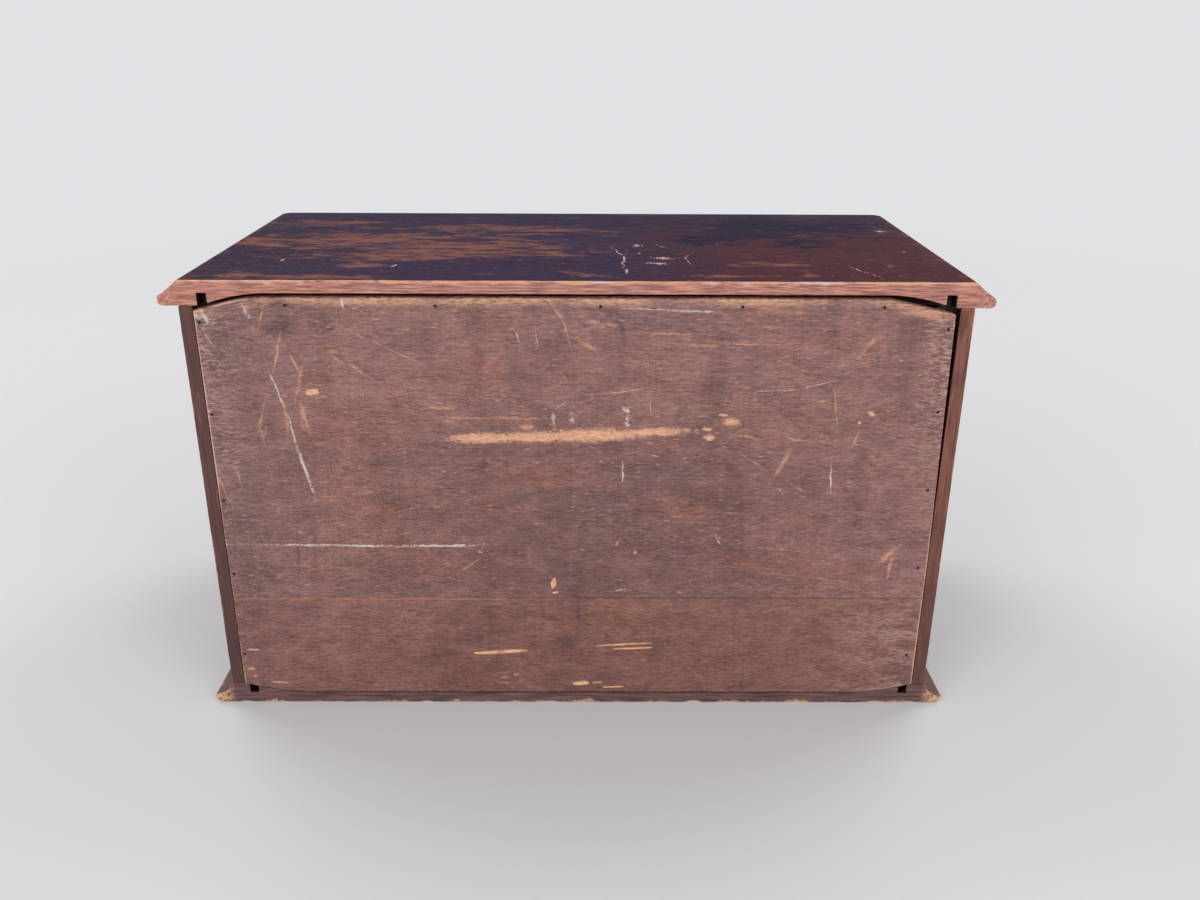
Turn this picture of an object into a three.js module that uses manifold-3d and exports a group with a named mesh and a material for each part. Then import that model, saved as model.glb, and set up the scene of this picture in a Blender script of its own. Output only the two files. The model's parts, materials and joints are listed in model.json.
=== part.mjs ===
// A countertop haberdashery cabinet of stained hardwood, seen in the photograph from behind.
// A moulded top and a moulded base are grooved for the tongues of two sides. A back of two glued boards
// lies in a rebate that a round cutter left with curved ends. Four drawers with dovetailed sides run on
// wooden runners behind three front rails. Each drawer has thin partitions and two turned brass knobs.
// X runs to the right of someone facing the drawers, Y runs from the drawers to the back, and Z runs up.
// The origin is under the middle of the whole cabinet, knobs included.
import * as THREE from "three";
import { mergeVertices } from "three/addons/utils/BufferGeometryUtils.js";
import Module from "manifold-3d";

// Overall sizes, in millimetres
const bodyWidth = 565; // across the outer faces of the sides
const carcassDepth = 286; // front edge to back edge of the sides
const totalHeight = 351;
const topThickness = 18.5;
const baseThickness = 18;
const sideThickness = 20.5;

// Clearances
const jointGap = 0.3; // between two pieces that are seated or glued together
const cutOverrun = 1; // how far a cut runs past the face it starts from

// Mouldings along the front and both ends of the top and the base
const topOverhang = 14.5; // from the outer face of a side to the nose of the moulding
const baseOverhang = 15.5;
const topMouldingWidth = 15.5;
const baseMouldingWidth = 15.5;
const noseCornerRadius = 24; // of the two front corners, measured at the nose
const cornerSteps = 5;
const profileSteps = 3; // facets in each curve of a profile

// Tongues on the sides, and the grooves that hold them
const tongueThickness = 6.4;
const grooveDepth = 9.2;
const grooveStop = 12; // the grooves start this far behind the front edges of the sides

// Back panel and its rebate
const backThickness = 9.5;
const sideRebateWidth = 10.5;
const endRebateDepth = 9.1; // cut up into the top and down into the base
const topFlatInset = 43.5; // from the inner face of a side to the end of the full-depth cut
const baseFlatInset = 51;
const topRunOut = 48; // length of the curved end, where the cutter came out of the wood
const baseRunOut = 62;
const backLowerWidth = 88.3; // of the lower of the two boards
const backTopGap = 1.3;
const backCornerDrop = 9.4; // of the corner that follows the cutter
const backSawnRun = 51; // of the corner that is sawn straight
const backSawnDrop = 11;
const backSlantGap = 3.2; // the wedge left open beside the panel at the top
const backSlantStartShare = 0.38; // of the panel's height
const arcSteps = 8;

// Rails between the drawers, and the runners behind them
const drawerCount = 4;
const railThickness = 12;
const railDepth = 45;
const housingDepth = 6; // how deep rails and runners are let into the sides
const housingStop = 10;
const runnerWidth = 18; // how far a runner stands out from the side
const runnerTenonThickness = 4;
const runnerTenonInset = 4; // from each edge of the runner
const runnerTenonLength = 8;
const runnerEndGap = 3;

// Drawer boxes
const drawerSideGap = 0.75;
const drawerFrontGap = 0.8; // above and below a drawer front
const drawerRearGap = 0.5; // a closed drawer is stopped by the back panel
const drawerFrontThickness = 18;
const drawerSideThickness = 9;
const drawerBackThickness = 9;
const drawerSideDrop = 9.3; // from the top of the opening to the top edge of a drawer side
const drawerBackDrop = 4;
const drawerBottomThickness = 4;
const drawerBottomHeight = 5;
const bottomGrooveDepth = 4;
const frontLap = 6; // wood left in front of the half-blind dovetails

// Dovetails, as shares of the height of the board that they join
const frontTailCentreShares = [0.17, 0.5, 0.83];
const backTailCentreShares = [0.27, 0.73];
const frontTailEndShare = 0.25;
const frontTailRootShare = 0.19;
const backTailEndShare = 0.36;
const backTailRootShare = 0.29;

// Drawer front: the bevelled edge and the bare sunk panel where a label would go
const edgeBevelWidth = 4;
const edgeBevelDepth = 3;
const labelLength = 230;
const labelHeight = 30;
const labelDepth = 1.6;

// Partitions
const partitionCount = 4;
const partitionThickness = 3;
const partitionDrop = 7; // below the top edge of the drawer sides
const partitionGrooveDepth = 3;

// Knobs
const knobInset = 86; // from the end of a drawer front to the knob's middle
const knobProjection = 24;
const knobRadius = 11.5;
const knobScrewRadius = 2.1;
const knobScrewLength = 12;
const screwHoleGap = 0.4;
const knobSteps = 16;
const holeSteps = 12;

// Places worked out from the sizes
const frontReach = Math.max(knobProjection, baseOverhang, topOverhang);
const backY = (carcassDepth + frontReach) / 2;
const frontY = backY - carcassDepth;
const outerHalf = bodyWidth / 2;
const innerHalf = outerHalf - sideThickness;
const topUnderZ = totalHeight - topThickness;
const rebateY = backY - backThickness - jointGap;
const topFlatHalf = innerHalf - topFlatInset;
const baseFlatHalf = innerHalf - baseFlatInset;
const topRebateZ = topUnderZ + endRebateDepth;
const baseRebateZ = baseThickness - endRebateDepth;
const openingHeight = (topUnderZ - baseThickness - (drawerCount - 1) * railThickness) / drawerCount;

const wasm = await Module();
wasm.setup();

// Turns a closed geometry into a solid that can be joined or cut.
function solid(geometry) {
  const bare = geometry.index ? geometry.toNonIndexed() : geometry.clone();
  for (const name of Object.keys(bare.attributes)) {
    if (name !== "position") bare.deleteAttribute(name);
  }
  const merged = mergeVertices(bare);
  return new wasm.Manifold(
    new wasm.Mesh({
      numProp: 3,
      vertProperties: merged.attributes.position.array,
      triVerts: new Uint32Array(merged.index.array),
    }),
  );
}

// Turns a solid back into a geometry with flat faces.
function geometryOf(shape) {
  const mesh = shape.getMesh();
  const indexed = new THREE.BufferGeometry();
  indexed.setAttribute("position", new THREE.BufferAttribute(mesh.vertProperties, mesh.numProp));
  indexed.setIndex(new THREE.BufferAttribute(mesh.triVerts, 1));
  const flat = indexed.toNonIndexed();
  flat.computeVertexNormals();
  return flat;
}

// A box between two corners, given in any order.
function block(xa, xb, ya, yb, za, zb) {
  const box = new THREE.BoxGeometry(Math.abs(xb - xa), Math.abs(yb - ya), Math.abs(zb - za));
  box.translate((xa + xb) / 2, (ya + yb) / 2, (za + zb) / 2);
  return solid(box);
}

// An outline drawn in X and Z, extruded along Y.
function extrudeAlongY(shape, ya, yb) {
  const geometry = new THREE.ExtrudeGeometry(shape, { depth: yb - ya, bevelEnabled: false });
  geometry.rotateX(Math.PI / 2);
  geometry.translate(0, yb, 0);
  return solid(geometry);
}

// An outline drawn in Y and Z, extruded along X.
function extrudeAlongX(shape, xa, xb) {
  const geometry = new THREE.ExtrudeGeometry(shape, { depth: Math.abs(xb - xa), bevelEnabled: false });
  geometry.rotateX(Math.PI / 2);
  geometry.rotateZ(Math.PI / 2);
  geometry.translate(Math.min(xa, xb), 0, 0);
  return solid(geometry);
}

function outline(points) {
  return new THREE.Shape(points.map(([u, v]) => new THREE.Vector2(u, v)));
}

// A closed body through a stack of convex loops, all with the same number of points, listed upwards.
function loft(loops) {
  const count = loops[0].length;
  const positions = loops.flat(2);
  const index = [];
  for (let level = 0; level < loops.length - 1; level++) {
    for (let i = 0; i < count; i++) {
      const a = level * count + i;
      const b = level * count + ((i + 1) % count);
      index.push(a, b, b + count, a, b + count, a + count);
    }
  }
  const last = (loops.length - 1) * count;
  for (let i = 1; i < count - 1; i++) {
    index.push(0, i + 1, i, last, last + i, last + i + 1);
  }
  const geometry = new THREE.BufferGeometry();
  geometry.setAttribute("position", new THREE.Float32BufferAttribute(positions, 3));
  geometry.setIndex(index);
  return solid(geometry);
}

// Moulding profiles, drawn upwards from the underside. Each pair is the share of the moulding's width in from
// the nose, and the share of the board's thickness up from its underside. After the first point, each row is
// the control point of a curve and then its end.
const topProfileShares = [
  [0.26, 0],
  [0, 0, 0, 0.24],
  [0, 0.36, 0.13, 0.42],
  [0.6, 0.66, 1, 1],
];
const baseProfileShares = [
  [0.6, 0],
  [0.1, 0, 0, 0.3],
  [0, 0.41, 0.18, 0.42],
  [0.78, 0.45, 1, 1],
];

function profilePoints(profileShares, width, thickness) {
  const [[startIn, startUp], ...curves] = profileShares;
  const path = new THREE.Path();
  path.moveTo(startIn * width, startUp * thickness);
  for (const [controlIn, controlUp, endIn, endUp] of curves) {
    path.quadraticCurveTo(controlIn * width, controlUp * thickness, endIn * width, endUp * thickness);
  }
  return path.getPoints(profileSteps);
}

// The plan of a moulded board at one height: straight across the back, rounded at the two front corners.
function boardLoop(noseHalf, noseY, inset, z) {
  const half = noseHalf - inset;
  const front = noseY + inset;
  const radius = Math.max(noseCornerRadius - inset, cutOverrun);
  const loop = [
    [half, backY, z],
    [-half, backY, z],
  ];
  for (const side of [-1, 1]) {
    for (let i = 0; i <= cornerSteps; i++) {
      const turn = (i / cornerSteps) * (Math.PI / 2);
      const across = side < 0 ? Math.cos(turn) : Math.sin(turn);
      const forward = side < 0 ? Math.sin(turn) : Math.cos(turn);
      loop.push([side * (half - radius + radius * across), front + radius - radius * forward, z]);
    }
  }
  return loop;
}

function mouldedBoard(overhang, mouldingWidth, thickness, profileShares, lowZ) {
  const profile = profilePoints(profileShares, mouldingWidth, thickness);
  return loft(profile.map(({ x, y }) => boardLoop(outerHalf + overhang, frontY - overhang, x, lowZ + y)));
}

// The curved end of a rebate: how far the cut has risen from its floor, out to a given distance from the end
// of the flat part. The curve leaves the wood after runOut.
function runOutCurve(runOut, reach) {
  const radius = (runOut ** 2 + endRebateDepth ** 2) / (2 * endRebateDepth);
  const sweep = Math.asin(reach / radius);
  return Array.from({ length: arcSteps + 1 }, (_, i) => {
    const turn = (i / arcSteps) * sweep;
    return [radius * Math.sin(turn), radius * (1 - Math.cos(turn))];
  });
}

// The rebate for the back panel in the top or the base, flat in the middle and curved at both ends.
// direction is 1 where it is cut upwards into the top, and -1 where it is cut down into the base.
function rebateCut(floorZ, direction, flatHalf, runOut) {
  const curve = runOutCurve(runOut, runOut + 2 * cutOverrun);
  const right = curve.map(([run, rise]) => [flatHalf + run, floorZ - direction * rise]);
  const left = right.map(([x, z]) => [-x, z]).reverse();
  return extrudeAlongY(outline([...left, ...right]), rebateY, backY + cutOverrun);
}

// The two grooves that hold the tongues of the sides.
function grooveCuts(faceZ, direction) {
  return [-1, 1].map((side) =>
    block(
      side * (innerHalf - jointGap),
      side * (innerHalf + tongueThickness + jointGap),
      frontY + grooveStop,
      backY + cutOverrun,
      faceZ - direction * cutOverrun,
      faceZ + direction * grooveDepth,
    ),
  );
}

function cut(body, cutters) {
  return cutters.reduce((left, cutter) => left.subtract(cutter), body);
}

function join(pieces) {
  return pieces.reduce((whole, piece) => whole.add(piece));
}

function topBoard() {
  const board = mouldedBoard(topOverhang, topMouldingWidth, topThickness, topProfileShares, topUnderZ);
  const rebate = rebateCut(topRebateZ, 1, topFlatHalf, topRunOut);
  return cut(board, [...grooveCuts(topUnderZ, 1), rebate]);
}

function baseBoard() {
  const board = mouldedBoard(baseOverhang, baseMouldingWidth, baseThickness, baseProfileShares, 0);
  const rebate = rebateCut(baseRebateZ, -1, baseFlatHalf, baseRunOut);
  return cut(board, [...grooveCuts(baseThickness, -1), rebate]);
}

// The height of the rail under the drawer opening of a given level; level 0 is the lowest opening.
function railZ(level) {
  return baseThickness + level * (openingHeight + railThickness) - railThickness;
}

// A side: the board, a tongue at each end, the rebate for the back, and a housing for each rail and runner.
function sideBoard(side) {
  const lowZ = baseThickness + jointGap;
  const highZ = topUnderZ - jointGap;
  const tongueReach = grooveDepth - jointGap;
  const board = block(side * innerHalf, side * outerHalf, frontY, backY, lowZ, highZ);
  const tongue = block(
    side * innerHalf,
    side * (innerHalf + tongueThickness),
    frontY + grooveStop + jointGap,
    rebateY,
    baseThickness - tongueReach,
    topUnderZ + tongueReach,
  );
  const rebate = block(
    side * (innerHalf - cutOverrun),
    side * (innerHalf + sideRebateWidth),
    rebateY,
    backY + cutOverrun,
    -cutOverrun,
    totalHeight + cutOverrun,
  );
  const housings = [];
  for (let level = 1; level < drawerCount; level++) {
    housings.push(
      block(
        side * (innerHalf - cutOverrun),
        side * (innerHalf + housingDepth + jointGap),
        frontY + housingStop,
        rebateY + cutOverrun,
        railZ(level) - jointGap,
        railZ(level) + railThickness + jointGap,
      ),
    );
  }
  return cut(join([board, tongue]), [rebate, ...housings]);
}

// The outline of the back panel as one piece. Three corners follow the curved ends of the rebates, and the
// fourth is sawn straight. The edge below that one leans inwards.
function backOutline() {
  const half = innerHalf + sideRebateWidth - jointGap;
  const lowZ = baseRebateZ + jointGap;
  const highZ = topRebateZ - backTopGap;
  const lowCurve = runOutCurve(baseRunOut, half - baseFlatHalf);
  const highCurve = runOutCurve(topRunOut, innerHalf - topFlatHalf);
  const lowRight = lowCurve.map(([run, rise]) => [baseFlatHalf + run, lowZ + rise]);
  const lowLeft = lowRight.map(([x, z]) => [-x, z]).reverse();
  const highRight = highCurve.map(([run, rise]) => [topFlatHalf + run, highZ - rise]).reverse();
  return outline([
    ...lowLeft,
    ...lowRight,
    [half, highZ - backCornerDrop],
    ...highRight,
    [-(half - backSawnRun), highZ],
    [-(half + jointGap - backSlantGap), highZ - backSawnDrop],
    [-half, lowZ + backSlantStartShare * (highZ - lowZ)],
  ]);
}

// One board of the back: the part of the panel between two heights.
function backBoard(lowZ, highZ) {
  const panel = extrudeAlongY(backOutline(), backY - backThickness, backY);
  const wide = outerHalf + cutOverrun;
  return panel.intersect(block(-wide, wide, backY - carcassDepth, backY + cutOverrun, lowZ, highZ));
}

// A rail: let into both sides, with shoulders at the front that hide the housings, and two mortises behind.
function rail() {
  const shoulderHalf = innerHalf - jointGap;
  const housedHalf = innerHalf + housingDepth;
  const board = block(-shoulderHalf, shoulderHalf, frontY, frontY + railDepth, 0, railThickness);
  const housed = block(
    -housedHalf,
    housedHalf,
    frontY + housingStop + jointGap,
    frontY + railDepth,
    0,
    railThickness,
  );
  const mortises = [-1, 1].map((side) => runnerTenon(side, jointGap));
  return cut(join([board, housed]), mortises);
}

// The stub at the front end of a runner, which fits a mortise in the rail. grow widens it for the mortise.
function runnerTenon(side, grow) {
  const middle = railThickness / 2;
  const half = runnerTenonThickness / 2 + grow;
  const railBackY = frontY + railDepth;
  return block(
    side * (innerHalf - runnerTenonInset + grow),
    side * (innerHalf - runnerWidth + runnerTenonInset - grow),
    railBackY - runnerTenonLength - grow,
    railBackY + cutOverrun,
    middle - half,
    middle + half,
  );
}

function runner(side) {
  const board = block(
    side * (innerHalf - runnerWidth),
    side * (innerHalf + housingDepth),
    frontY + railDepth + jointGap,
    rebateY - runnerEndGap,
    0,
    railThickness,
  );
  return join([board, runnerTenon(side, 0)]);
}

// Drawer pieces are drawn with Z measured from the top of the runners.
const drawerOuterHalf = innerHalf - drawerSideGap;
const drawerInnerHalf = drawerOuterHalf - drawerSideThickness;
const drawerRearY = rebateY - drawerRearGap;
const frontBackY = frontY + drawerFrontThickness; // the inner face of a drawer front
const sideLowZ = jointGap;
const sideHighZ = openingHeight - drawerSideDrop;
const backInnerY = drawerRearY - drawerBackThickness;
const bottomLowZ = sideLowZ + drawerBottomHeight;
const bottomHighZ = bottomLowZ + drawerBottomThickness;
const drawerBackLowZ = bottomHighZ + jointGap;
const drawerBackHighZ = sideHighZ - drawerBackDrop;
const knobX = drawerOuterHalf - knobInset;
const knobZ = openingHeight / 2;

// A row of dovetails in the plane of a drawer side. They run from their roots at rootY to their ends at endY,
// on a side that meets its neighbour between lowZ and highZ. grow widens them for their sockets.
function tails(side, { rootY, endY, lowZ, highZ, centreShares, rootShare, endShare }, grow) {
  const height = highZ - lowZ;
  const away = Math.sign(endY - rootY);
  const innerY = rootY - away * cutOverrun;
  const outerY = endY + away * grow;
  const rootHalf = (rootShare * height) / 2 + grow;
  const endHalf = (endShare * height) / 2 + grow;
  const rows = centreShares.map((share) => {
    const middle = lowZ + share * height;
    const shape = outline([
      [innerY, middle - rootHalf],
      [rootY, middle - rootHalf],
      [outerY, middle - endHalf],
      [outerY, middle + endHalf],
      [rootY, middle + rootHalf],
      [innerY, middle + rootHalf],
    ]);
    return extrudeAlongX(shape, side * (drawerInnerHalf - grow), side * (drawerOuterHalf + grow));
  });
  return join(rows);
}

const frontJoint = {
  rootY: frontBackY + jointGap,
  endY: frontY + frontLap + jointGap,
  lowZ: sideLowZ,
  highZ: sideHighZ,
  centreShares: frontTailCentreShares,
  rootShare: frontTailRootShare,
  endShare: frontTailEndShare,
};
const backJoint = {
  rootY: backInnerY - jointGap,
  endY: drawerRearY,
  lowZ: drawerBackLowZ,
  highZ: drawerBackHighZ,
  centreShares: backTailCentreShares,
  rootShare: backTailRootShare,
  endShare: backTailEndShare,
};

// The space that the drawer bottom slides into. grow widens it from the bottom itself to its grooves.
function bottomSpace(grow) {
  const half = drawerInnerHalf + bottomGrooveDepth - jointGap + grow;
  return block(
    -half,
    half,
    frontBackY - bottomGrooveDepth + jointGap - grow,
    drawerRearY + grow,
    bottomLowZ - grow,
    bottomHighZ + grow,
  );
}

function partitionX(index) {
  const clear = (2 * drawerInnerHalf - partitionCount * partitionThickness) / (partitionCount + 1);
  return -drawerInnerHalf + (index + 1) * clear + (index + 0.5) * partitionThickness;
}

function partitionSpace(index, grow) {
  const half = partitionThickness / 2 + grow;
  return block(
    partitionX(index) - half,
    partitionX(index) + half,
    frontBackY - partitionGrooveDepth + jointGap - grow,
    backInnerY + partitionGrooveDepth - jointGap + grow,
    bottomHighZ + jointGap,
    sideHighZ - partitionDrop + grow,
  );
}

function partitionGrooves() {
  return Array.from({ length: partitionCount }, (_, index) => partitionSpace(index, jointGap));
}

function rectangleLoop(half, lowZ, highZ, y) {
  return [
    [-half, y, lowZ],
    [-half, y, highZ],
    [half, y, highZ],
    [half, y, lowZ],
  ];
}

// The hole that a knob's screw goes into.
function screwHole(side) {
  const radius = knobScrewRadius + screwHoleGap;
  const depth = knobScrewLength + cutOverrun;
  const hole = new THREE.CylinderGeometry(radius, radius, depth, holeSteps);
  hole.translate(side * knobX, frontY - cutOverrun + depth / 2, knobZ);
  return solid(hole);
}

// A drawer front: bevelled round its face, with a sunk bare panel, screw holes, sockets and grooves.
function drawerFront() {
  const lowZ = drawerFrontGap;
  const highZ = openingHeight - drawerFrontGap;
  const middleZ = (lowZ + highZ) / 2;
  const bevel = edgeBevelWidth;
  const board = loft([
    rectangleLoop(drawerOuterHalf - bevel, lowZ + bevel, highZ - bevel, frontY),
    rectangleLoop(drawerOuterHalf, lowZ, highZ, frontY + edgeBevelDepth),
    rectangleLoop(drawerOuterHalf, lowZ, highZ, frontBackY),
  ]);
  const labelLoop = (spread, y) => {
    const half = labelHeight / 2 + spread;
    return rectangleLoop(labelLength / 2 + spread, middleZ - half, middleZ + half, y);
  };
  const label = loft([
    labelLoop(labelDepth + cutOverrun, frontY - cutOverrun),
    labelLoop(0, frontY + labelDepth),
  ]);
  const holes = [-1, 1].map(screwHole);
  const sockets = [-1, 1].map((side) => tails(side, frontJoint, jointGap));
  return cut(board, [label, ...holes, ...sockets, bottomSpace(jointGap), ...partitionGrooves()]);
}

// A drawer side: dovetailed at both ends and grooved for the bottom.
function drawerSide(side) {
  const insideX = side * (drawerInnerHalf - cutOverrun);
  const outsideX = side * (drawerOuterHalf + cutOverrun);
  const board = block(
    side * drawerInnerHalf,
    side * drawerOuterHalf,
    frontJoint.endY,
    drawerRearY,
    sideLowZ,
    sideHighZ,
  );
  const frontBand = block(
    insideX,
    outsideX,
    frontJoint.endY - cutOverrun,
    frontJoint.rootY,
    sideLowZ - cutOverrun,
    sideHighZ + cutOverrun,
  );
  const backBand = block(
    insideX,
    outsideX,
    backJoint.rootY,
    drawerRearY + cutOverrun,
    drawerBackLowZ - jointGap,
    drawerBackHighZ + jointGap,
  );
  const frontWaste = frontBand.subtract(tails(side, frontJoint, 0));
  const backWaste = backBand.subtract(tails(side, backJoint, 0));
  return cut(board, [frontWaste, backWaste, bottomSpace(jointGap)]);
}

function drawerBack() {
  const board = block(
    -drawerOuterHalf,
    drawerOuterHalf,
    backInnerY,
    drawerRearY,
    drawerBackLowZ,
    drawerBackHighZ,
  );
  const sockets = [-1, 1].map((side) => tails(side, backJoint, jointGap));
  return cut(board, [...sockets, ...partitionGrooves()]);
}

// A knob's profile, in the same form as the mouldings': shares of its radius and of its length, from the
// collar that lies on the drawer front to the crown.
const knobProfileShares = [
  [0.8, 0],
  [0.86, 0.05, 0.76, 0.1],
  [0.36, 0.13, 0.35, 0.32],
  [0.35, 0.46, 0.72, 0.55],
  [1.06, 0.68, 0.96, 0.84],
  [0.84, 1, 0, 1],
];

// A knob turned in one piece with its screw.
function knob() {
  const turned = new THREE.LatheGeometry(
    [
      new THREE.Vector2(0, -knobScrewLength),
      new THREE.Vector2(knobScrewRadius, -knobScrewLength),
      new THREE.Vector2(knobScrewRadius, 0),
      ...profilePoints(knobProfileShares, knobRadius, knobProjection - jointGap),
    ],
    knobSteps,
  );
  turned.rotateX(Math.PI);
  return solid(turned);
}

// Finishes
const finishes = {
  caseWood: new THREE.MeshStandardMaterial({ color: 0x5a3324, roughness: 0.6, metalness: 0 }),
  topWood: new THREE.MeshStandardMaterial({ color: 0x3d1f22, roughness: 0.4, metalness: 0 }),
  backWood: new THREE.MeshStandardMaterial({ color: 0x6b4536, roughness: 0.75, metalness: 0 }),
  drawerFace: new THREE.MeshStandardMaterial({ color: 0x52291f, roughness: 0.42, metalness: 0 }),
  innerWood: new THREE.MeshStandardMaterial({ color: 0xb98d5c, roughness: 0.7, metalness: 0 }),
  brass: new THREE.MeshStandardMaterial({ color: 0xb08a45, roughness: 0.35, metalness: 1 }),
};

function piece(name, geometry, finish) {
  const mesh = new THREE.Mesh(geometry, finish);
  mesh.name = name;
  return mesh;
}

const sideNames = new Map([
  [-1, "left"],
  [1, "right"],
]);

function carcass() {
  const group = new THREE.Group();
  const add = (name, shape, finish, z = 0) => {
    const mesh = piece(name, geometryOf(shape), finish);
    mesh.position.z = z;
    group.add(mesh);
  };
  const jointZ = baseRebateZ + jointGap + backLowerWidth;
  add("top_board", topBoard(), finishes.topWood);
  add("base_board", baseBoard(), finishes.caseWood);
  add("back_board_upper", backBoard(jointZ + jointGap, totalHeight), finishes.backWood);
  add("back_board_lower", backBoard(0, jointZ), finishes.backWood);
  for (const [side, word] of sideNames) {
    add(`side_${word}`, sideBoard(side), finishes.caseWood);
  }
  for (let level = 1; level < drawerCount; level++) {
    const number = drawerCount - level;
    add(`rail_${number}`, rail(), finishes.caseWood, railZ(level));
    for (const [side, word] of sideNames) {
      add(`runner_${number}_${word}`, runner(side), finishes.innerWood, railZ(level));
    }
  }
  return group;
}

// Drawer 1 is the top one.
function drawer(number, shapes) {
  const group = new THREE.Group();
  const name = (word) => `drawer_${number}_${word}`;
  group.position.z = railZ(drawerCount - number) + railThickness;
  group.add(piece(name("front"), shapes.front, finishes.drawerFace));
  group.add(piece(name("back"), shapes.back, finishes.innerWood));
  group.add(piece(name("bottom"), shapes.bottom, finishes.innerWood));
  for (const [side, word] of sideNames) {
    group.add(piece(name(`side_${word}`), shapes.sides.get(side), finishes.innerWood));
    const turned = piece(name(`knob_${word}`), shapes.knob, finishes.brass);
    turned.position.set(side * knobX, frontY - jointGap, knobZ);
    group.add(turned);
  }
  shapes.partitions.forEach((shape, index) => {
    group.add(piece(name(`partition_${index + 1}`), shape, finishes.innerWood));
  });
  return group;
}

function cabinet() {
  const group = new THREE.Group();
  group.add(carcass());
  const shapes = {
    front: geometryOf(drawerFront()),
    back: geometryOf(drawerBack()),
    bottom: geometryOf(bottomSpace(0)),
    knob: geometryOf(knob()),
    sides: new Map([-1, 1].map((side) => [side, geometryOf(drawerSide(side))])),
    partitions: Array.from({ length: partitionCount }, (_, index) => geometryOf(partitionSpace(index, 0))),
  };
  for (let number = 1; number <= drawerCount; number++) {
    group.add(drawer(number, shapes));
  }
  return group;
}

export default cabinet();
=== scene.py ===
"""A haberdashery cabinet of four shallow drawers, looked at from behind.

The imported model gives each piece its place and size. This add-on gives the pieces their
looks: rounded and chipped arrises, scuffed back boards, a worn top, stained case wood,
plain drawer boxes and turned brass knobs.
"""
import contextlib
import json
import math
import random

import bmesh
import bpy
from mathutils import Matrix, Vector

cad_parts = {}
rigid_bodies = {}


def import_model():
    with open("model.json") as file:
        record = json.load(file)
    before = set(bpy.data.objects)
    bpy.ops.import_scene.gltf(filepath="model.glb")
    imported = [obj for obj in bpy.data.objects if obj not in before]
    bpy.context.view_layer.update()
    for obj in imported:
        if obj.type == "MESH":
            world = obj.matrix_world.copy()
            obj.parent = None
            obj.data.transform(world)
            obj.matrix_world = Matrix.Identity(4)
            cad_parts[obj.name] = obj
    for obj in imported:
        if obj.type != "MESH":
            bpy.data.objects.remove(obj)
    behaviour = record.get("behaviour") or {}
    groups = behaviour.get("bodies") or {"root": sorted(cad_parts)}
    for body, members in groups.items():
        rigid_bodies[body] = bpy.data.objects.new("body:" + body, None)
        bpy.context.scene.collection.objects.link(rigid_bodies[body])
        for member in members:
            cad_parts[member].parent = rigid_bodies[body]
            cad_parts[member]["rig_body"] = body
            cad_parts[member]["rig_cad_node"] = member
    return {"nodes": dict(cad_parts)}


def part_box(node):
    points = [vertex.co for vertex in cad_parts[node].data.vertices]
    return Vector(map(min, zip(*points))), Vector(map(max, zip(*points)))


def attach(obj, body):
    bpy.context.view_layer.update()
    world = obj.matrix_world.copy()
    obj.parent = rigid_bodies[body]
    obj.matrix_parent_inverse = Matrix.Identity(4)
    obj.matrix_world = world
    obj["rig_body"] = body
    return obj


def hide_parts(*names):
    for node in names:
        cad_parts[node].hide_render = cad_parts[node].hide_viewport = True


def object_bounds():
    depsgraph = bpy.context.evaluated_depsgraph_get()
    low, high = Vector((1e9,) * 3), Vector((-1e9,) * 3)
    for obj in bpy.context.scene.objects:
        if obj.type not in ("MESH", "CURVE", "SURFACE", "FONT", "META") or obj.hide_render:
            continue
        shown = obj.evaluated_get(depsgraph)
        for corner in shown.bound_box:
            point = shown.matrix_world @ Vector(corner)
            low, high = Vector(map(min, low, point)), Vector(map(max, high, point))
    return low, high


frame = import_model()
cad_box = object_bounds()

bl_info = {
    "name": "Haberdashery Cabinet",
    "version": (1, 0, 0),
    "blender": (4, 5, 0),
    "location": "3D View > Sidebar > Cabinet",
    "description": "Finishes a small cabinet of shallow drawers in aged wood and brass",
    "category": "Object",
}

MM = 0.001
ALONG_X, ALONG_Y, ALONG_Z = 0, 1, 2
DRAWERS = (1, 2, 3, 4)

# Places that several pieces and finishes share, worked out from the frame.
BACK_LOW, BACK_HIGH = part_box("back_board_lower")[0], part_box("back_board_upper")[1]
BACK_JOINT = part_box("back_board_upper")[0].z
SIDE_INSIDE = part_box("side_right")[0].x
REBATE_HALF_WIDTH = BACK_HIGH.x + 1.3 * MM
REBATE_DEPTH = BACK_HIGH.y - BACK_LOW.y + 1.5 * MM
FRONT_LOW, FRONT_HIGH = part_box("drawer_4_front")
DRAWER_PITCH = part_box("drawer_3_front")[0].z - FRONT_LOW.z
# The sunk label field of a drawer front.
LABEL_HALF_LENGTH, LABEL_HALF_HEIGHT = 115 * MM, 15 * MM
# Edges that turn by more than this are rounded.
SHARP = math.radians(32)
# Points that lie closer together than this are welded.
WELD_GAP = 0.01 * MM
# How far the points of a rough ball are shaken before it cuts a chip.
JAG = 0.2 * MM

# The photograph's camera, worked out from the edges of the cabinet in it.
PHOTO_WIDTH, PHOTO_HEIGHT = 1200, 900
CAMERA_PLACE = Vector((-0.0121, 0.8957, 0.5207))
CAMERA_TURN, CAMERA_TIP, CAMERA_LEAN = -0.0058, 0.3814, -0.0048
CAMERA_SENSOR, CAMERA_LENS = 36.0, 32.1

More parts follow.
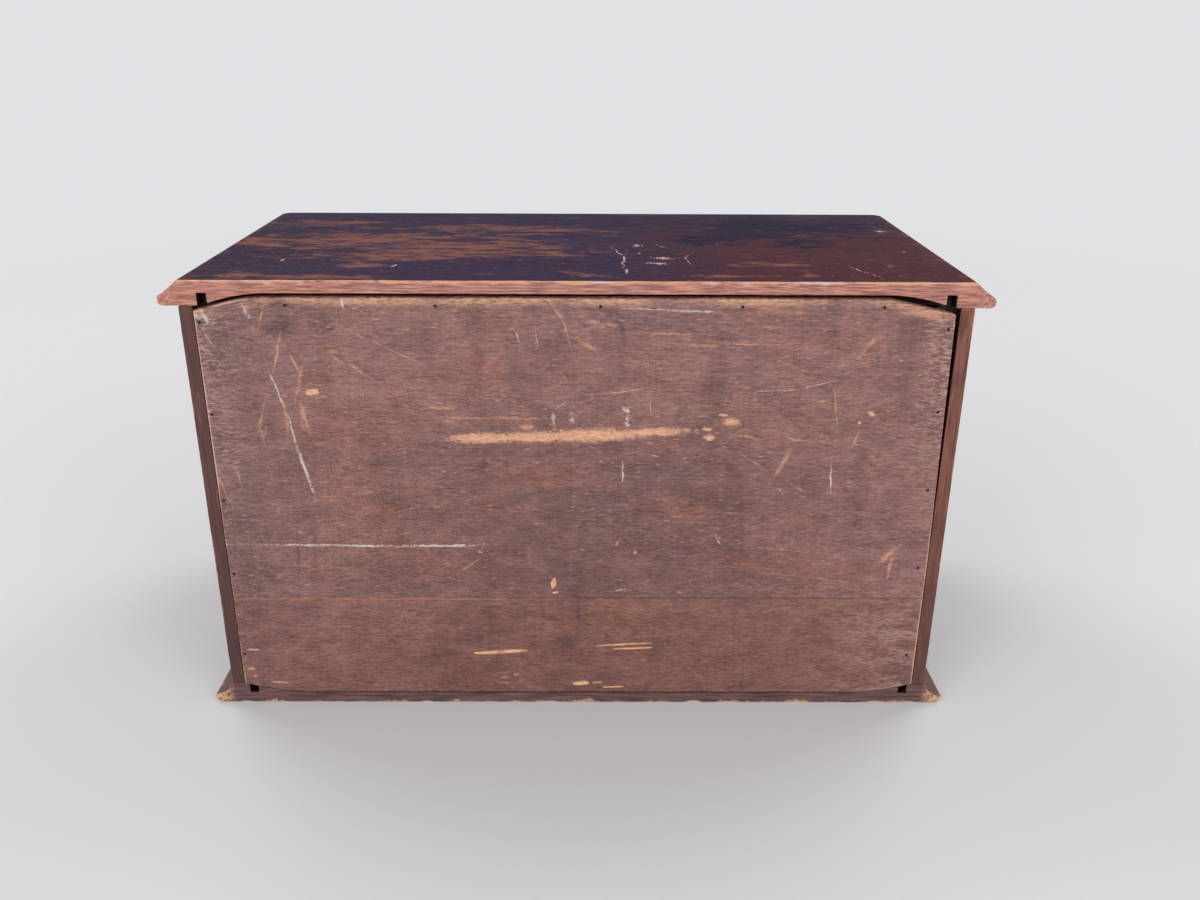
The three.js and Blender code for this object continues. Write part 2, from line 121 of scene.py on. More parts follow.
# Marks on the back boards, read off the photograph. Each row gives the two ends of a mark and
# half its width, in the photograph's pixels counted across and down from its upper left corner.
SCUFFS = [
    (442, 438.5, 532, 437.5, 5.5), (528, 436.5, 650, 434.5, 7.2), (610, 433.5, 696, 430.5, 4.2),
    (701.5, 429, 713, 429.5, 2), (703.5, 437.5, 715.5, 438, 3.6), (722, 421.5, 740, 422.5, 4.2),
    (717.5, 415, 728.5, 415.5, 1.5), (867, 412, 876, 415.5, 2.4), (857.5, 423, 861.5, 423, 1.6),
    (207, 411, 211, 411, 1.6), (205.5, 417, 210, 417, 1.8), (953.5, 322.5, 956, 329, 1.3),
    (246, 649.5, 260, 649.5, 0.9), (248, 668.5, 256, 668.5, 1), (252, 676, 258, 676, 0.6),
    (270, 681.5, 292, 683, 0.8), (500, 437.5, 580, 436, 6),
]
ORANGE_SCRATCHES = [
    (264, 301, 259.5, 324.5, 0.9), (279.5, 337.5, 273.5, 370, 0.9), (264, 404.5, 259.5, 427.5, 1),
    (259.5, 427.5, 264, 441, 0.9), (267, 424.5, 264, 437.5, 0.7), (301, 374, 296, 396.5, 1.5),
    (355.5, 333.5, 423, 365, 0.55), (300.5, 403.5, 307.5, 426, 1.5), (284.5, 403, 288, 431.5, 1.6),
    (787, 437.5, 801.5, 441, 1), (788.5, 453.5, 777, 472, 1.9), (740.5, 436, 756, 438.5, 1),
    (818.5, 401.5, 826.5, 401.5, 1), (549.5, 302, 563.5, 321.5, 0.8), (563.5, 321.5, 571, 349, 0.9),
    (576, 339, 594.5, 349, 1.6), (586, 320, 598.5, 323, 2), (608.5, 324, 614.5, 325.5, 1.4),
    (446.5, 422, 457, 423.5, 1.6), (521.5, 427, 532, 427, 2), (421, 408, 447.5, 408, 1.2),
    (447, 417.5, 543, 418.5, 0.9), (875, 339, 863, 353, 1.6), (870, 336.5, 884, 337.5, 1.3),
    (779, 489, 782.5, 492.5, 0.8), (794, 486.5, 801.5, 491, 0.9), (464, 569, 481, 557.5, 0.6),
    (616, 545, 618.5, 540.5, 0.8), (498, 672.5, 508, 672.5, 0.7), (501, 677, 507, 677, 0.7),
    (513, 674, 519, 674, 0.8), (499, 682, 508, 682, 0.8), (693, 345, 722, 346, 0.9),
    (702, 340.5, 726, 341.5, 0.9), (640, 333, 706, 334.5, 0.6), (762, 327, 774, 327.5, 1.1),
    (727, 344, 772, 344.5, 0.8), (755, 310, 800, 312.5, 2.2), (905, 312, 940, 318, 1.8),
    (238, 520, 260, 520.5, 0.5), (236.5, 471, 243, 489, 0.8), (219, 478, 229, 500, 0.9),
    (880, 562, 897, 548, 2.2), (888, 575, 892, 556, 1.4), (289.5, 354, 299.5, 373, 0.8),
    (350.5, 364, 358, 370, 1.2), (359, 371, 377, 382, 0.7), (858.5, 432, 854, 443.5, 0.8),
    (536, 345, 538, 352, 1), (834.5, 394, 837, 421.5, 0.6), (744.5, 456, 761, 467, 0.6),
    (650.5, 401, 651, 414.5, 0.5), (330, 351, 337, 352, 1.4), (333.5, 357, 340, 362, 1.1),
    (205, 333, 213, 346, 0.8), (201, 345, 206, 352, 0.8),
]
WHITE_SCRATCHES = [
    (241.5, 305.5, 248.5, 316.5, 1.6), (270.5, 375, 284.5, 408, 0.6), (278, 393, 284.5, 408, 0.9),
    (553.5, 413.5, 553.5, 424.5, 1.6), (571.5, 415.5, 571.5, 422.5, 1.7), (627, 414.5, 627, 425.5, 1.8),
    (624, 408, 628, 412, 1.8), (278, 545, 400, 546, 0.8), (400, 546, 476.5, 545.5, 1),
    (478.5, 552, 481.5, 552, 1.2), (634, 552.5, 636.5, 552.5, 1.2), (622.5, 464.5, 622.5, 480, 0.8),
    (757.5, 392, 801.5, 389, 0.3), (801.5, 389, 832.5, 381.5, 0.3), (610.5, 393, 641, 389, 0.3),
    (557.5, 407.5, 565.5, 402, 0.35), (627, 308.5, 672, 310, 0.4), (676, 310.5, 714, 312, 0.9),
    (341, 299, 343.5, 308, 1.3), (831, 465.5, 831, 490, 0.8), (653, 455.5, 660, 457, 0.5),
    (613, 591.5, 623, 589.5, 0.6), (716, 536, 720, 544, 1), (536, 333, 538, 346, 0.5),
    (516, 333, 519, 342, 0.4), (193, 315.5, 200, 315.5, 3), (201, 311, 206.5, 321, 1.8),
    (289.5, 419.5, 297, 448, 0.8), (296, 445, 312, 488, 1.4),
]
DARK_MARKS = [
    (483.5, 459, 483.5, 469, 4), (475, 409.5, 478, 409.5, 2.6), (330, 455.5, 331, 471, 1.2),
    (296, 522, 300, 573, 1), (483.5, 394.5, 485.5, 395, 1.5), (253, 328, 300, 329, 8),
    (270, 304.5, 298, 304.5, 2.2), (418, 306, 450, 306.5, 2), (582, 309, 616, 309.5, 2.4),
    (728, 309, 762, 309.5, 2.2), (868, 309, 898, 310, 2.2), (555.5, 641, 578.5, 642, 8),
    (210, 413.5, 224, 414, 2.2), (537.5, 345, 538, 353, 1.3), (874, 456.5, 880, 456.5, 1.8),
    (620, 318, 625, 345, 3), (262, 425.5, 275, 426, 3), (738, 437.5, 758, 437.5, 3.4),
    (740, 680, 742, 690, 1.8), (728, 687, 731, 689, 2), (320, 393, 325, 393.5, 1.4),
    (578, 612, 580, 622, 2), (905, 652, 912, 660, 3),
]
RED_PATCHES = [
    (532, 443, 558, 445, 3.6), (650, 443, 680, 444, 4.5), (584, 610, 661, 626, 16),
    (470, 596, 560, 598, 2), (230, 600, 470, 601, 3.2), (300, 430, 420, 440, 26), (740, 434, 800, 440, 10),
    (860, 460, 916, 459.5, 1.4), (470, 470, 600, 480, 14), (700, 560, 900, 572, 12),
    (430, 360, 520, 372, 12), (650, 500, 720, 520, 12), (330, 500, 420, 515, 10), (560, 655, 700, 664, 8),
]
# Splinters torn out of the back boards, read off in the same way.
TORN_SPLINTERS = [
    (471.5, 653, 530, 650.5, 2.1), (594, 646, 653.5, 642.5, 1.1), (611, 649, 653.5, 647.5, 1.1),
    (572, 683, 590, 683, 2.1), (601.5, 687, 624.5, 686.5, 0.8), (305, 392, 319.5, 392, 3.4),
    (550.5, 583, 556.5, 583, 5), (552, 592.5, 559, 592.5, 1.2), (592, 682.5, 602.5, 682, 0.8),
]
# A splinter's strands: how far each lies aside and above, as shares of the splinter's half length
# and half width, and its own length and width as shares of the splinter's.
SPLINTER_STRANDS = ((0.0, 0.0, 1.0, 0.8), (-0.34, 0.6, 0.5, 0.5), (0.3, -0.55, 0.6, 0.5))
# Marks on the top, read off in the same way.
TOP_WORN_STREAKS = [
    (290, 239.5, 420, 240.5, 4), (330, 236.5, 470, 237, 2), (392, 246, 520, 246.5, 4.2),
    (348, 255, 470, 256, 3), (352, 264, 380, 265.5, 1.6), (247, 242.5, 284, 243.5, 2.5),
    (297, 248, 314, 248.5, 1.1), (430, 228, 560, 229, 1.8), (470, 252, 556, 253.5, 2),
    (300, 222.5, 360, 223.5, 1.6), (221, 274.5, 250, 275, 2.2), (278, 277, 362, 277.5, 1.6),
    (744, 264, 789, 264.5, 1.2), (807, 274.5, 816, 274.5, 1.1), (885, 266, 893, 266.5, 0.9),
    (711, 276, 781, 276.5, 0.9), (570, 273.5, 600, 275.5, 1), (782, 236.5, 815, 236.5, 1),
]
TOP_BLACK_PATCH = [
    (694, 226, 864, 228, 7), (681, 238.5, 742, 239.5, 4.6), (776, 242, 830, 243, 5),
    (700, 234, 800, 235, 4),
]
TOP_WHITE_SCRATCHES = [
    (654, 257.5, 669.5, 258.5, 0.8), (648, 263, 666.5, 263.5, 0.6), (902, 251.5, 904, 252, 0.9),
    (875, 231, 883, 231.5, 0.7), (657, 245, 668, 248, 0.5), (281, 260, 283.5, 260, 0.8),
    (392.5, 266, 395.5, 266, 0.8), (848, 266.5, 878, 276.5, 0.5), (907, 274, 909, 275, 0.8),
    (626.5, 269.5, 628.5, 273.5, 1.1), (685, 257.5, 690.5, 264.5, 0.8), (684.5, 257, 687, 255.5, 0.8),
    (624.5, 255, 624, 264.5, 0.8), (613.5, 248.5, 622, 255, 0.5), (633, 245.5, 639.5, 246, 0.8),
    (639, 253.5, 641.5, 252.5, 0.7),
]
# Nails through the back boards: those of a row, as shares of the back's width or height, and the
# row's own share of the other one.
NAIL_ROWS = (
    (ALONG_X, (0.88, 0.685, 0.47, 0.285, 0.1), 0.978),
    (ALONG_Z, (0.94, 0.73, 0.52, 0.33, 0.11), 0.994),
    (ALONG_Z, (0.93, 0.74, 0.55, 0.35, 0.11), 0.013),
)


def tint(red, green, blue):
    """A colour as a screen shows it, 0 to 255, in the linear light that Blender mixes."""
    shares = [channel / 255 for channel in (red, green, blue)]
    return tuple(
        share / 12.92 if share <= 0.04045 else ((share + 0.055) / 1.055) ** 2.4 for share in shares)


def shade(colour, strength):
    """The same colour, darker below a strength of 1 and lighter above it."""
    return tuple(min(1.0, channel * strength) for channel in colour)


def camera_axes():
    """Which way the right, the top and the view of the photograph's camera point."""
    turn, tip, lean = CAMERA_TURN, CAMERA_TIP, CAMERA_LEAN
    forward = Vector((math.sin(turn) * math.cos(tip), -math.cos(turn) * math.cos(tip), -math.sin(tip)))
    level = Vector((-math.cos(turn), -math.sin(turn), 0))
    down = forward.cross(level)
    right = level * math.cos(lean) + down * math.sin(lean)
    up = level * math.sin(lean) - down * math.cos(lean)
    return right, up, forward


def seen_at(across, down, axis, level):
    """The place that a pixel of the photograph shows, on the plane at a level of one axis."""
    right, up, forward = camera_axes()
    pixel = CAMERA_SENSOR / CAMERA_LENS / PHOTO_WIDTH
    ray = forward + right * (across - PHOTO_WIDTH / 2) * pixel + up * (PHOTO_HEIGHT / 2 - down) * pixel
    return CAMERA_PLACE + ray * ((level - CAMERA_PLACE[axis]) / ray[axis])


def seen_marks(rows, axis, level):
    """The middle, half length, half width and tilt on that plane of each mark of a table."""
    up = ALONG_Z if axis == ALONG_Y else ALONG_Y
    marks = []
    for start_across, start_down, end_across, end_down, half_width in rows:
        start, end = (seen_at(*place, axis, level)
                      for place in ((start_across, start_down), (end_across, end_down)))
        run = start - end if start.x > end.x else end - start
        middle_across, middle_down = (start_across + end_across) / 2, (start_down + end_down) / 2
        steep = abs(run[up]) > abs(run.x)
        beside = seen_at(middle_across + steep, middle_down + (not steep), axis, level)
        pixel = (beside - seen_at(middle_across, middle_down, axis, level)).length
        marks.append(((start + end) / 2, run.length / 2, half_width * pixel, math.atan2(run[up], run.x)))
    return marks


def nail_places():
    """Where the nails stand on the outer face of the back boards."""
    span = BACK_HIGH - BACK_LOW
    places = []
    for axis, shares, other in NAIL_ROWS:
        for share in shares:
            across, up = (share, other) if axis == ALONG_X else (other, share)
            places.append(Vector((BACK_LOW.x + span.x * across, BACK_HIGH.y, BACK_LOW.z + span.z * up)))
    return places


def length_setting(name, description, default, high):
    """A length that a user may change, in metres."""
    return bpy.props.FloatProperty(
        name=name, description=description, default=default, min=0.0, max=high,
        precision=5, unit="LENGTH", subtype="DISTANCE",
    )


def colour_setting(name, description, default):
    """A colour that a user may change."""
    return bpy.props.FloatVectorProperty(
        name=name, description=description, default=default, min=0.0, max=1.0,
        size=3, subtype="COLOR",
    )


class CabinetSizes(bpy.types.PropertyGroup):
    """How far wear and tools have shaped the pieces."""

    arris_rounding: length_setting(
        "Arris rounding", "Width worn off the edges of the case and its back", 0.9 * MM, 3 * MM)
    inner_rounding: length_setting(
        "Inner rounding", "Width worn off the edges of rails, runners and drawers", 0.4 * MM, 1 * MM)
    strip_width: length_setting(
        "Strip width", "Spacing of the cuts that let a long edge wear unevenly", 4 * MM, 20 * MM)
    shrinkage: length_setting(
        "Shrinkage", "How far the wide back board has shrunk away from the top", 1.7 * MM, 3 * MM)
    chip_length: length_setting(
        "Chip length", "Length of a usual chip along an edge", 9 * MM, 30 * MM)
    chip_depth: length_setting(
        "Chip depth", "How far a usual chip bites into an edge", 1.3 * MM, 4 * MM)
    splinter_depth: length_setting(
        "Splinter depth", "Depth of the splinters torn out of the back", 0.7 * MM, 2 * MM)
    nail_radius: length_setting(
        "Nail radius", "Radius of the holes that the back's nails are sunk in", 1.25 * MM, 3 * MM)
    nail_depth: length_setting(
        "Nail depth", "How far a nail's head lies below the back's face", 0.7 * MM, 3 * MM)


class CabinetColours(bpy.types.PropertyGroup):
    """The colours of the woods and metals."""

    back_wood: colour_setting("Back wood", "The unfinished back boards", tint(140, 104, 99))
    bare_scuff: colour_setting(
        "Bare scuff", "Wood laid bare where the back is scuffed", tint(224, 170, 136))
    orange_scratch: colour_setting("Orange scratch", "Fresh scratches in the back", tint(200, 144, 116))
    pale_scratch: colour_setting(
        "Pale scratch", "Dents and scratches that took up dust", tint(224, 208, 202))
    top_finish: colour_setting("Top finish", "Old dark finish on the top", tint(46, 32, 55))
    top_maroon: colour_setting("Top maroon", "Redder finish towards one end of the top", tint(66, 31, 38))
    top_worn: colour_setting("Top worn", "Wood that shows through the worn top", tint(124, 82, 72))
    top_black: colour_setting("Top black", "Black stain spilt on the top", tint(14, 17, 43))
    case_stain: colour_setting("Case stain", "Stained faces of the sides, base and rails", tint(92, 58, 52))
    back_edge: colour_setting("Back edge", "Unfinished back edges of the case", tint(134, 86, 72))
    drawer_stain: colour_setting("Drawer stain", "Polished faces of the drawers", tint(112, 64, 50))
    bare_wood: colour_setting(
        "Bare wood", "Unfinished wood inside the case and drawers", tint(176, 138, 108))
    raw_wood: colour_setting("Raw wood", "Fresh wood in chips and on rubbed arrises", tint(226, 174, 134))
    # Painted shade: this colour darkens the deep rebates and grooves behind the back boards, where shade
    # falls.
    painted_rebate_shade: colour_setting("Cavity", "Dirt in the rebates and grooves of the case", tint(20, 14, 14))
    brass: colour_setting("Brass", "Aged brass of the knobs", tint(170, 132, 78))
    iron: colour_setting("Iron", "Rusted iron of the nails", tint(44, 36, 36))


class CabinetStage(bpy.types.PropertyGroup):
    """The light and the ground that the cabinet is looked at in."""

    floor: colour_setting("Floor", "Colour of the floor near the cabinet", tint(214, 214, 216))
    backdrop: colour_setting("Backdrop", "Colour of what lies behind the cabinet", tint(226, 227, 230))
    lamp_power: bpy.props.FloatProperty(
        name="Lamp power", description="Power of each large soft lamp",
        default=26.0, min=0.0, max=500.0, unit="POWER")
    sky_strength: bpy.props.FloatProperty(
        name="Sky strength", description="Strength of the even light from all sides",
        default=0.55, min=0.0, max=5.0, subtype="FACTOR")


def sizes():
    """The sizes that the user has set."""
    return bpy.context.scene.cabinet_sizes


def colours():
    """The colours that the user has set."""
    return bpy.context.scene.cabinet_colours


class Wire:
    """A number on its way through a finish's nodes, so that shader maths reads as sums."""

    def __init__(self, finish, socket):
        self.finish = finish
        self.socket = socket

    def maths(self, operation, *values):
        return self.finish.node("Math", {"operation": operation}, dict(enumerate(values)))

    def __add__(self, other):
        return self.maths("ADD", self, other)

    __radd__ = __add__

    def __sub__(self, other):
        return self.maths("SUBTRACT", self, other)

    def __rsub__(self, other):
        return self.maths("SUBTRACT", other, self)

    def __mul__(self, other):
        return self.maths("MULTIPLY", self, other)

    __rmul__ = __mul__

    def __truediv__(self, other):
        return self.maths("DIVIDE", self, other)

    def __gt__(self, other):
        return self.maths("GREATER_THAN", self, other)

    def __lt__(self, other):
        return self.maths("LESS_THAN", self, other)

    def __abs__(self):
        return self.maths("ABSOLUTE", self)

    def storey(self, foot):
        """The number of the drawer or rail at this height, from 0 for the one that has its foot there."""
        return ((self - foot + 4 * MM) / DRAWER_PITCH).whole()

    def whole(self):
        return self.maths("FLOOR", self)

    def longer_side(self, other):
        """The longest side of a right-angled triangle on this length and the other."""
        return self.maths("SQRT", self * self + other * other)

    def least(self, other):
        return self.maths("MINIMUM", self, other)

    def most(self, other):
        return self.maths("MAXIMUM", self, other)

    def ease(self, start, end):
        """0 before the start, 1 past the end and a soft step between; the end may be the lower."""
        return self.finish.node(
            "MapRange", {"interpolation_type": "SMOOTHSTEP"},
            {"Value": self, "From Min": start, "From Max": end})


class Finish:
    """A material while it is mixed, with the patterns that the woods and metals share."""

    def __init__(self, name=None, world=None):
        """Start on a new material of that name, or else on a world."""
        self.owner = world or bpy.data.materials.new(name)
        self.owner.use_nodes = True
        self.tree = self.owner.node_tree
        self.tree.nodes.clear()
        self.colour = None
        if not world:
            self.place = self.node("TexCoord", output="Object")
            self.facing = self.node("TexCoord", output="Normal")

    def node(self, kind, settings=None, inputs=None, output=0):
        """Add one node: its settings first, then a value or a link for each socket named."""
        made = self.tree.nodes.new("ShaderNode" + kind)
        for name, value in (settings or {}).items():
            setattr(made, name, value)
        for name, value in (inputs or {}).items():
            if isinstance(value, Wire):
                self.tree.links.new(value.socket, made.inputs[name])
            elif made.inputs[name].type == "RGBA":
                made.inputs[name].default_value = (*value[:3], 1.0)
            else:
                made.inputs[name].default_value = value
        return Wire(self, made.outputs[output]) if len(made.outputs) else None

    def axes(self, vector=None):
        """The three numbers of a vector, which is the place on the piece unless one is given."""
        vector = vector or self.place
        return [self.node("SeparateXYZ", inputs={"Vector": vector}, output=axis) for axis in "XYZ"]

    def mixed(self, share, under, over):
        """One colour laid over another by a share."""
        return self.node("Mix", {"data_type": "RGBA"}, {0: share, 6: under, 7: over}, output=2)

    def lay(self, share, over):
        """Lay another colour over the finish's own by a share."""
        self.colour = self.mixed(share, self.colour, over)

    def tone(self, factor):
        """Make the finish's own colour darker below a factor of 1 and lighter above it."""
        self.colour = self.lit(self.colour, factor)

    def lit(self, colour, factor):
        """A colour made darker below a factor of 1 and lighter above it."""
        return self.node("VectorMath", {"operation": "SCALE"}, {0: colour, "Scale": factor})

    def cloud(self, lump, detail=3.0, roughness=0.55, distortion=0.0, place=None, output="Fac"):
        """Noise whose lumps are about so many millimetres long on each axis."""
        lengths = [length * MM for length in lump]
        spread = self.node("VectorMath", {"operation": "DIVIDE"}, {0: place or self.place, 1: lengths})
        return self.node(
            "TexNoise",
            inputs={"Vector": spread, "Scale": 1.0, "Detail": detail, "Roughness": roughness,
                    "Distortion": distortion},
            output=output)

    def shifted(self, vector, step):
        """A vector moved by a step."""
        return self.node("VectorMath", {"operation": "ADD"}, {0: vector, 1: step})

    def flattened(self, keep, lump, sway):
        """The place on the piece with one axis dropped and each mark's outline made to sway."""
        colour = self.cloud(lump, detail=2.0, output="Color")
        centred = self.shifted(colour, (-0.5, -0.5, -0.5))
        swayed = self.node("VectorMath", {"operation": "SCALE"}, {0: centred, "Scale": sway})
        moved = self.shifted(self.place, swayed)
        return self.node("VectorMath", {"operation": "MULTIPLY"}, {0: moved, 1: keep})

    def nearest_mark(self, flat, rows, axis, level):
        """How far out the nearest mark of a table is: 0 at its middle, 1 at its rim, never above 3."""
        deepest = None
        up = ALONG_Z if axis == ALONG_Y else ALONG_Y
        for middle, half_length, half_width, tilt in seen_marks(rows, axis, level):
            middle[axis] = 0
            reach, turn = [1.0] * 3, [0.0] * 3
            reach[ALONG_X], reach[up] = half_length * 3, half_width * 3
            turn[axis] = -tilt if axis == ALONG_Y else tilt
            local = self.node(
                "Mapping", {"vector_type": "TEXTURE"},
                {"Vector": flat, "Location": middle, "Rotation": turn, "Scale": reach})
            depth = self.node(
                "TexGradient", {"gradient_type": "SPHERICAL"}, {"Vector": local}, output="Fac")
            deepest = depth if deepest is None else deepest.most(depth)
        return (1 - deepest) * 3

    def arris_gap(self, point, low, high):
        """The distance from a point on a block's surface to the nearest of the block's edges."""
        gaps = [
            (high[axis] - low[axis]) / 2 - abs(point[axis] - (high[axis] + low[axis]) / 2)
            for axis in range(3)
        ]
        return gaps[0].least(gaps[1]).most(gaps[0].most(gaps[1]).least(gaps[2]))

    def end_grain(self, along):
        """1 on the faces that cut across the grain and 0 on those that run with it."""
        return abs(self.axes(self.facing)[along]).ease(0.55, 0.8)

    def lumber(self, along, place=None):
        """Fibres and broad bands of wood whose grain runs along one axis, both round a half."""
        fibre_lump, band_lump = [1.7] * 3, [16.0] * 3
        fibre_lump[along], band_lump[along] = 30.0, 210.0
        fibre = self.cloud(fibre_lump, detail=5.0, roughness=0.62, distortion=0.1, place=place)
        band = self.cloud(band_lump, detail=3.0, distortion=0.5, place=place)
        return fibre, band

    def surface(self, roughness, height, depth, metallic=0.0, specular=0.5):
        """Close the finish with its shader; the height's full range stands so many millimetres proud."""
        bump = self.node("Bump", inputs={"Height": height, "Distance": depth * MM, "Strength": 1.0})
        shader = self.node("BsdfPrincipled", inputs={
            "Base Color": self.colour, "Roughness": roughness, "Metallic": metallic,
            "Specular IOR Level": specular, "Normal": bump})
        self.node("OutputMaterial", inputs={"Surface": shader})
        return self.owner


def in_rebate(x, y):
    """1 inside the rebate that the back boards lie in, and 0 outside it."""
    return (y > BACK_HIGH.y - REBATE_DEPTH) * (y < BACK_HIGH.y - 1.2 * MM) * (abs(x) < REBATE_HALF_WIDTH)


def mix_back_wood():
    """Boards that were never finished: grey-brown, scuffed, scratched and rubbed at the rim."""
    mix = Finish("unfinished_back")
    wood, bare_scuff = colours().back_wood, colours().bare_scuff
    low, high, joint = BACK_LOW, BACK_HIGH, BACK_JOINT
    x, _, z = mix.axes()
    aside, up = x / high.x, (z - low.z) / (high.z - low.z)
    fibre = mix.cloud((14, 14, 1.3), detail=5.0, roughness=0.7, distortion=0.1)
    thread = mix.cloud((4.5, 4.5, 0.7), detail=3.0, roughness=0.65)
    band = mix.cloud((240, 90, 15), detail=3.0, distortion=0.4)
    cloudy = mix.cloud((80, 60, 42), detail=4.0, roughness=0.6)
    saw = mix.cloud((1.1, 20, 34), detail=2.0, roughness=0.7)
    fleck = mix.cloud((7, 7, 1.6), detail=2.0, roughness=0.4)
    speckle = mix.cloud((2.4, 2.4, 2.0), detail=2.0, roughness=0.7)

    # Broad tones of the boards, and their stains.
    mix.colour = mix.mixed(band.ease(0.5, 0.75) * 0.4, wood, shade(wood, 0.62))
    mix.lay(cloudy.ease(0.5, 0.72) * 0.4, tint(158, 108, 94))
    mix.lay(cloudy.ease(0.5, 0.3) * 0.4, tint(118, 94, 100))
    duller = up.ease(0.82, 0.49) * abs(aside).ease(0.96, 0.29)
    mix.lay(duller * 0.34, tint(92, 66, 62))
    mix.lay(up.ease(0.37, 0.03) * 0.25, tint(104, 70, 60))
    cool = aside.ease(0.73, 0.97) * cloudy.ease(0.35, 0.6)
    mix.lay(cool * 0.5, tint(92, 78, 84))
    figure = mix.cloud((26, 60, 150), detail=2.0, roughness=0.5, distortion=0.3)
    mix.lay(figure.ease(0.48, 0.3) * 0.3, tint(96, 68, 66))
    lower = z.ease(joint + 0.4 * MM, joint - 0.4 * MM)
    mix.lay(lower * 0.25, tint(140, 92, 78))
    flat = mix.flattened((1, 0, 1), (6, 6, 3), 1.6 * MM)
    still = mix.flattened((1, 0, 1), (9, 9, 6), 2.4 * MM)
    red = mix.nearest_mark(flat, RED_PATCHES, ALONG_Y, high.y) + (cloudy - 0.5) * 1.6
    mix.lay(red.ease(1.3, 0.1) * fibre.ease(0.25, 0.6) * 0.34, tint(158, 98, 78))
    dark = mix.nearest_mark(flat, DARK_MARKS, ALONG_Y, high.y) + (fibre - 0.5) * 1.3
    mix.lay(dark.ease(1.5, 0.1) * 0.5, tint(70, 56, 66))
    grain = fibre.ease(0.3, 0.7) * 0.4 + thread.ease(0.3, 0.7) * 0.52 - saw.ease(0.52, 0.7) * 0.14
    mix.tone(0.52 + grain)

    # Flecks, nicks and dust in the grain.
    patchy = mix.cloud((26, 20, 12), detail=4.0, roughness=0.65, distortion=0.5)
    mix.tone(0.87 + patchy.ease(0.35, 0.65) * 0.26)
    fleck_mask = fleck.ease(0.62, 0.72) * thread.ease(0.4, 0.6) * (1 - lower * 0.5)
    mix.lay(fleck_mask * 0.75, colours().orange_scratch)
    nick = mix.cloud((1.2, 6, 5), detail=3.0, roughness=0.6)
    mix.lay(nick.ease(0.67, 0.75) * 0.5, tint(196, 158, 146))
    dust = mix.cloud((1.3, 1.3, 1.0), detail=2.0, roughness=0.6)
    dusty = dust.ease(0.6, 0.7) * (aside.ease(0.18, 0.73) * 0.4 + cloudy.ease(0.4, 0.62) * 0.6)
    mix.lay(dusty * 0.7, tint(200, 156, 140))
    mix.lay(dust.ease(0.36, 0.28) * 0.6, tint(66, 44, 44))
    mix.lay(speckle.ease(0.70, 0.78) * 0.55, shade(wood, 0.35))

    # The rim, rubbed pale above and at the sides, with a painted shadow along the foot where the board meets
    # the base.
    corner = abs(aside).ease(0.779, 0.985)
    top_gap = high.z - z - corner * 9.4 * MM + (fibre - 0.5) * 5.0 * MM
    side_gap = (high.x - abs(x)).most(0.0)
    rim = top_gap.ease(10 * MM, 2 * MM) * cloudy.ease(0.3, 0.55) * thread.ease(0.3, 0.6)
    mix.lay(rim * 0.85, bare_scuff)
    rubbed_side = side_gap.ease(34 * MM, 2 * MM) * thread.ease(0.5, 0.6) * up.ease(0.46, 0.79)
    mix.lay(rubbed_side * (0.55 - aside.ease(0, 0.73) * 0.15), tint(206, 170, 158))
    lower_left = aside.ease(-0.37, 0.37) * up.ease(0.58, 0.4)
    uneven = (cloudy + speckle * 0.6 - 0.7) * (1.8 + lower_left * 3.2) * MM
    arris = (top_gap + 1.5 * MM).least(side_gap + uneven)
    mix.lay(arris.ease(1.8 * MM, 0.4 * MM) * 0.75, tint(222, 180, 160))
    # Painted shadow: a dark line along the foot of the board stands in for the shade in the gap above the
    # base.
    foot = (z - low.z + (fibre - 0.5) * 2 * MM).ease(2.2 * MM, 0.6 * MM)
    mix.lay(foot * 0.8, tint(62, 42, 38))

    # Scuffs, scratches and the joint of the two boards.
    scuff = mix.nearest_mark(flat, SCUFFS, ALONG_Y, high.y)
    scuff = (scuff + (fibre - 0.5) * 1.5 + (thread - 0.5) * 0.9 + (speckle - 0.5) * 1.6).ease(1.15, 0.5)
    scuff_colour = mix.mixed(thread.ease(0.35, 0.65), shade(bare_scuff, 0.72), shade(bare_scuff, 1.16))
    mix.lay(scuff * 0.94, mix.lit(scuff_colour, 0.76 + speckle * 0.48))
    ragged = (speckle - 0.5) * 3.6 + (fibre - 0.5) * 3.0
    orange = (mix.nearest_mark(still, ORANGE_SCRATCHES, ALONG_Y, high.y) + ragged).ease(1.9, 0.3)
    broken = patchy.ease(0.4, 0.58) * 0.6
    mix.lay(orange * (broken + 0.3), colours().orange_scratch)
    pale = (mix.nearest_mark(still, WHITE_SCRATCHES, ALONG_Y, high.y) + ragged).ease(1.6, 0.3)
    mix.lay(pale * (broken * 0.6 + 0.46), colours().pale_scratch)
    joint_line = abs(z - joint + 0.9 * MM).ease(1.1 * MM, 0.3 * MM) * aside.ease(-0.07, 0.37)
    joint_line = joint_line * fibre.ease(0.35, 0.55)
    mix.lay(joint_line * 0.6, tint(190, 136, 112))
    seam = abs(z - joint - 0.2 * MM).ease(0.7 * MM, 0.2 * MM) * aside.ease(0.51, 0.07)
    seam = seam * fibre.ease(0.62, 0.42)
    mix.lay(seam * 0.42, tint(74, 50, 46))
    dusted = aside.ease(-0.7, -0.94) * up.ease(0.33, 0.21) * patchy.ease(0.4, 0.6) * thread.ease(0.4, 0.6)
    mix.lay(dusted * 0.6, tint(176, 148, 140))

    height = fibre * 0.5 + thread * 0.5 + saw * 0.2
    rough = 0.74 - fibre * 0.16 + scuff * 0.12
    return mix.surface(rough, height, depth=0.18, specular=0.2)


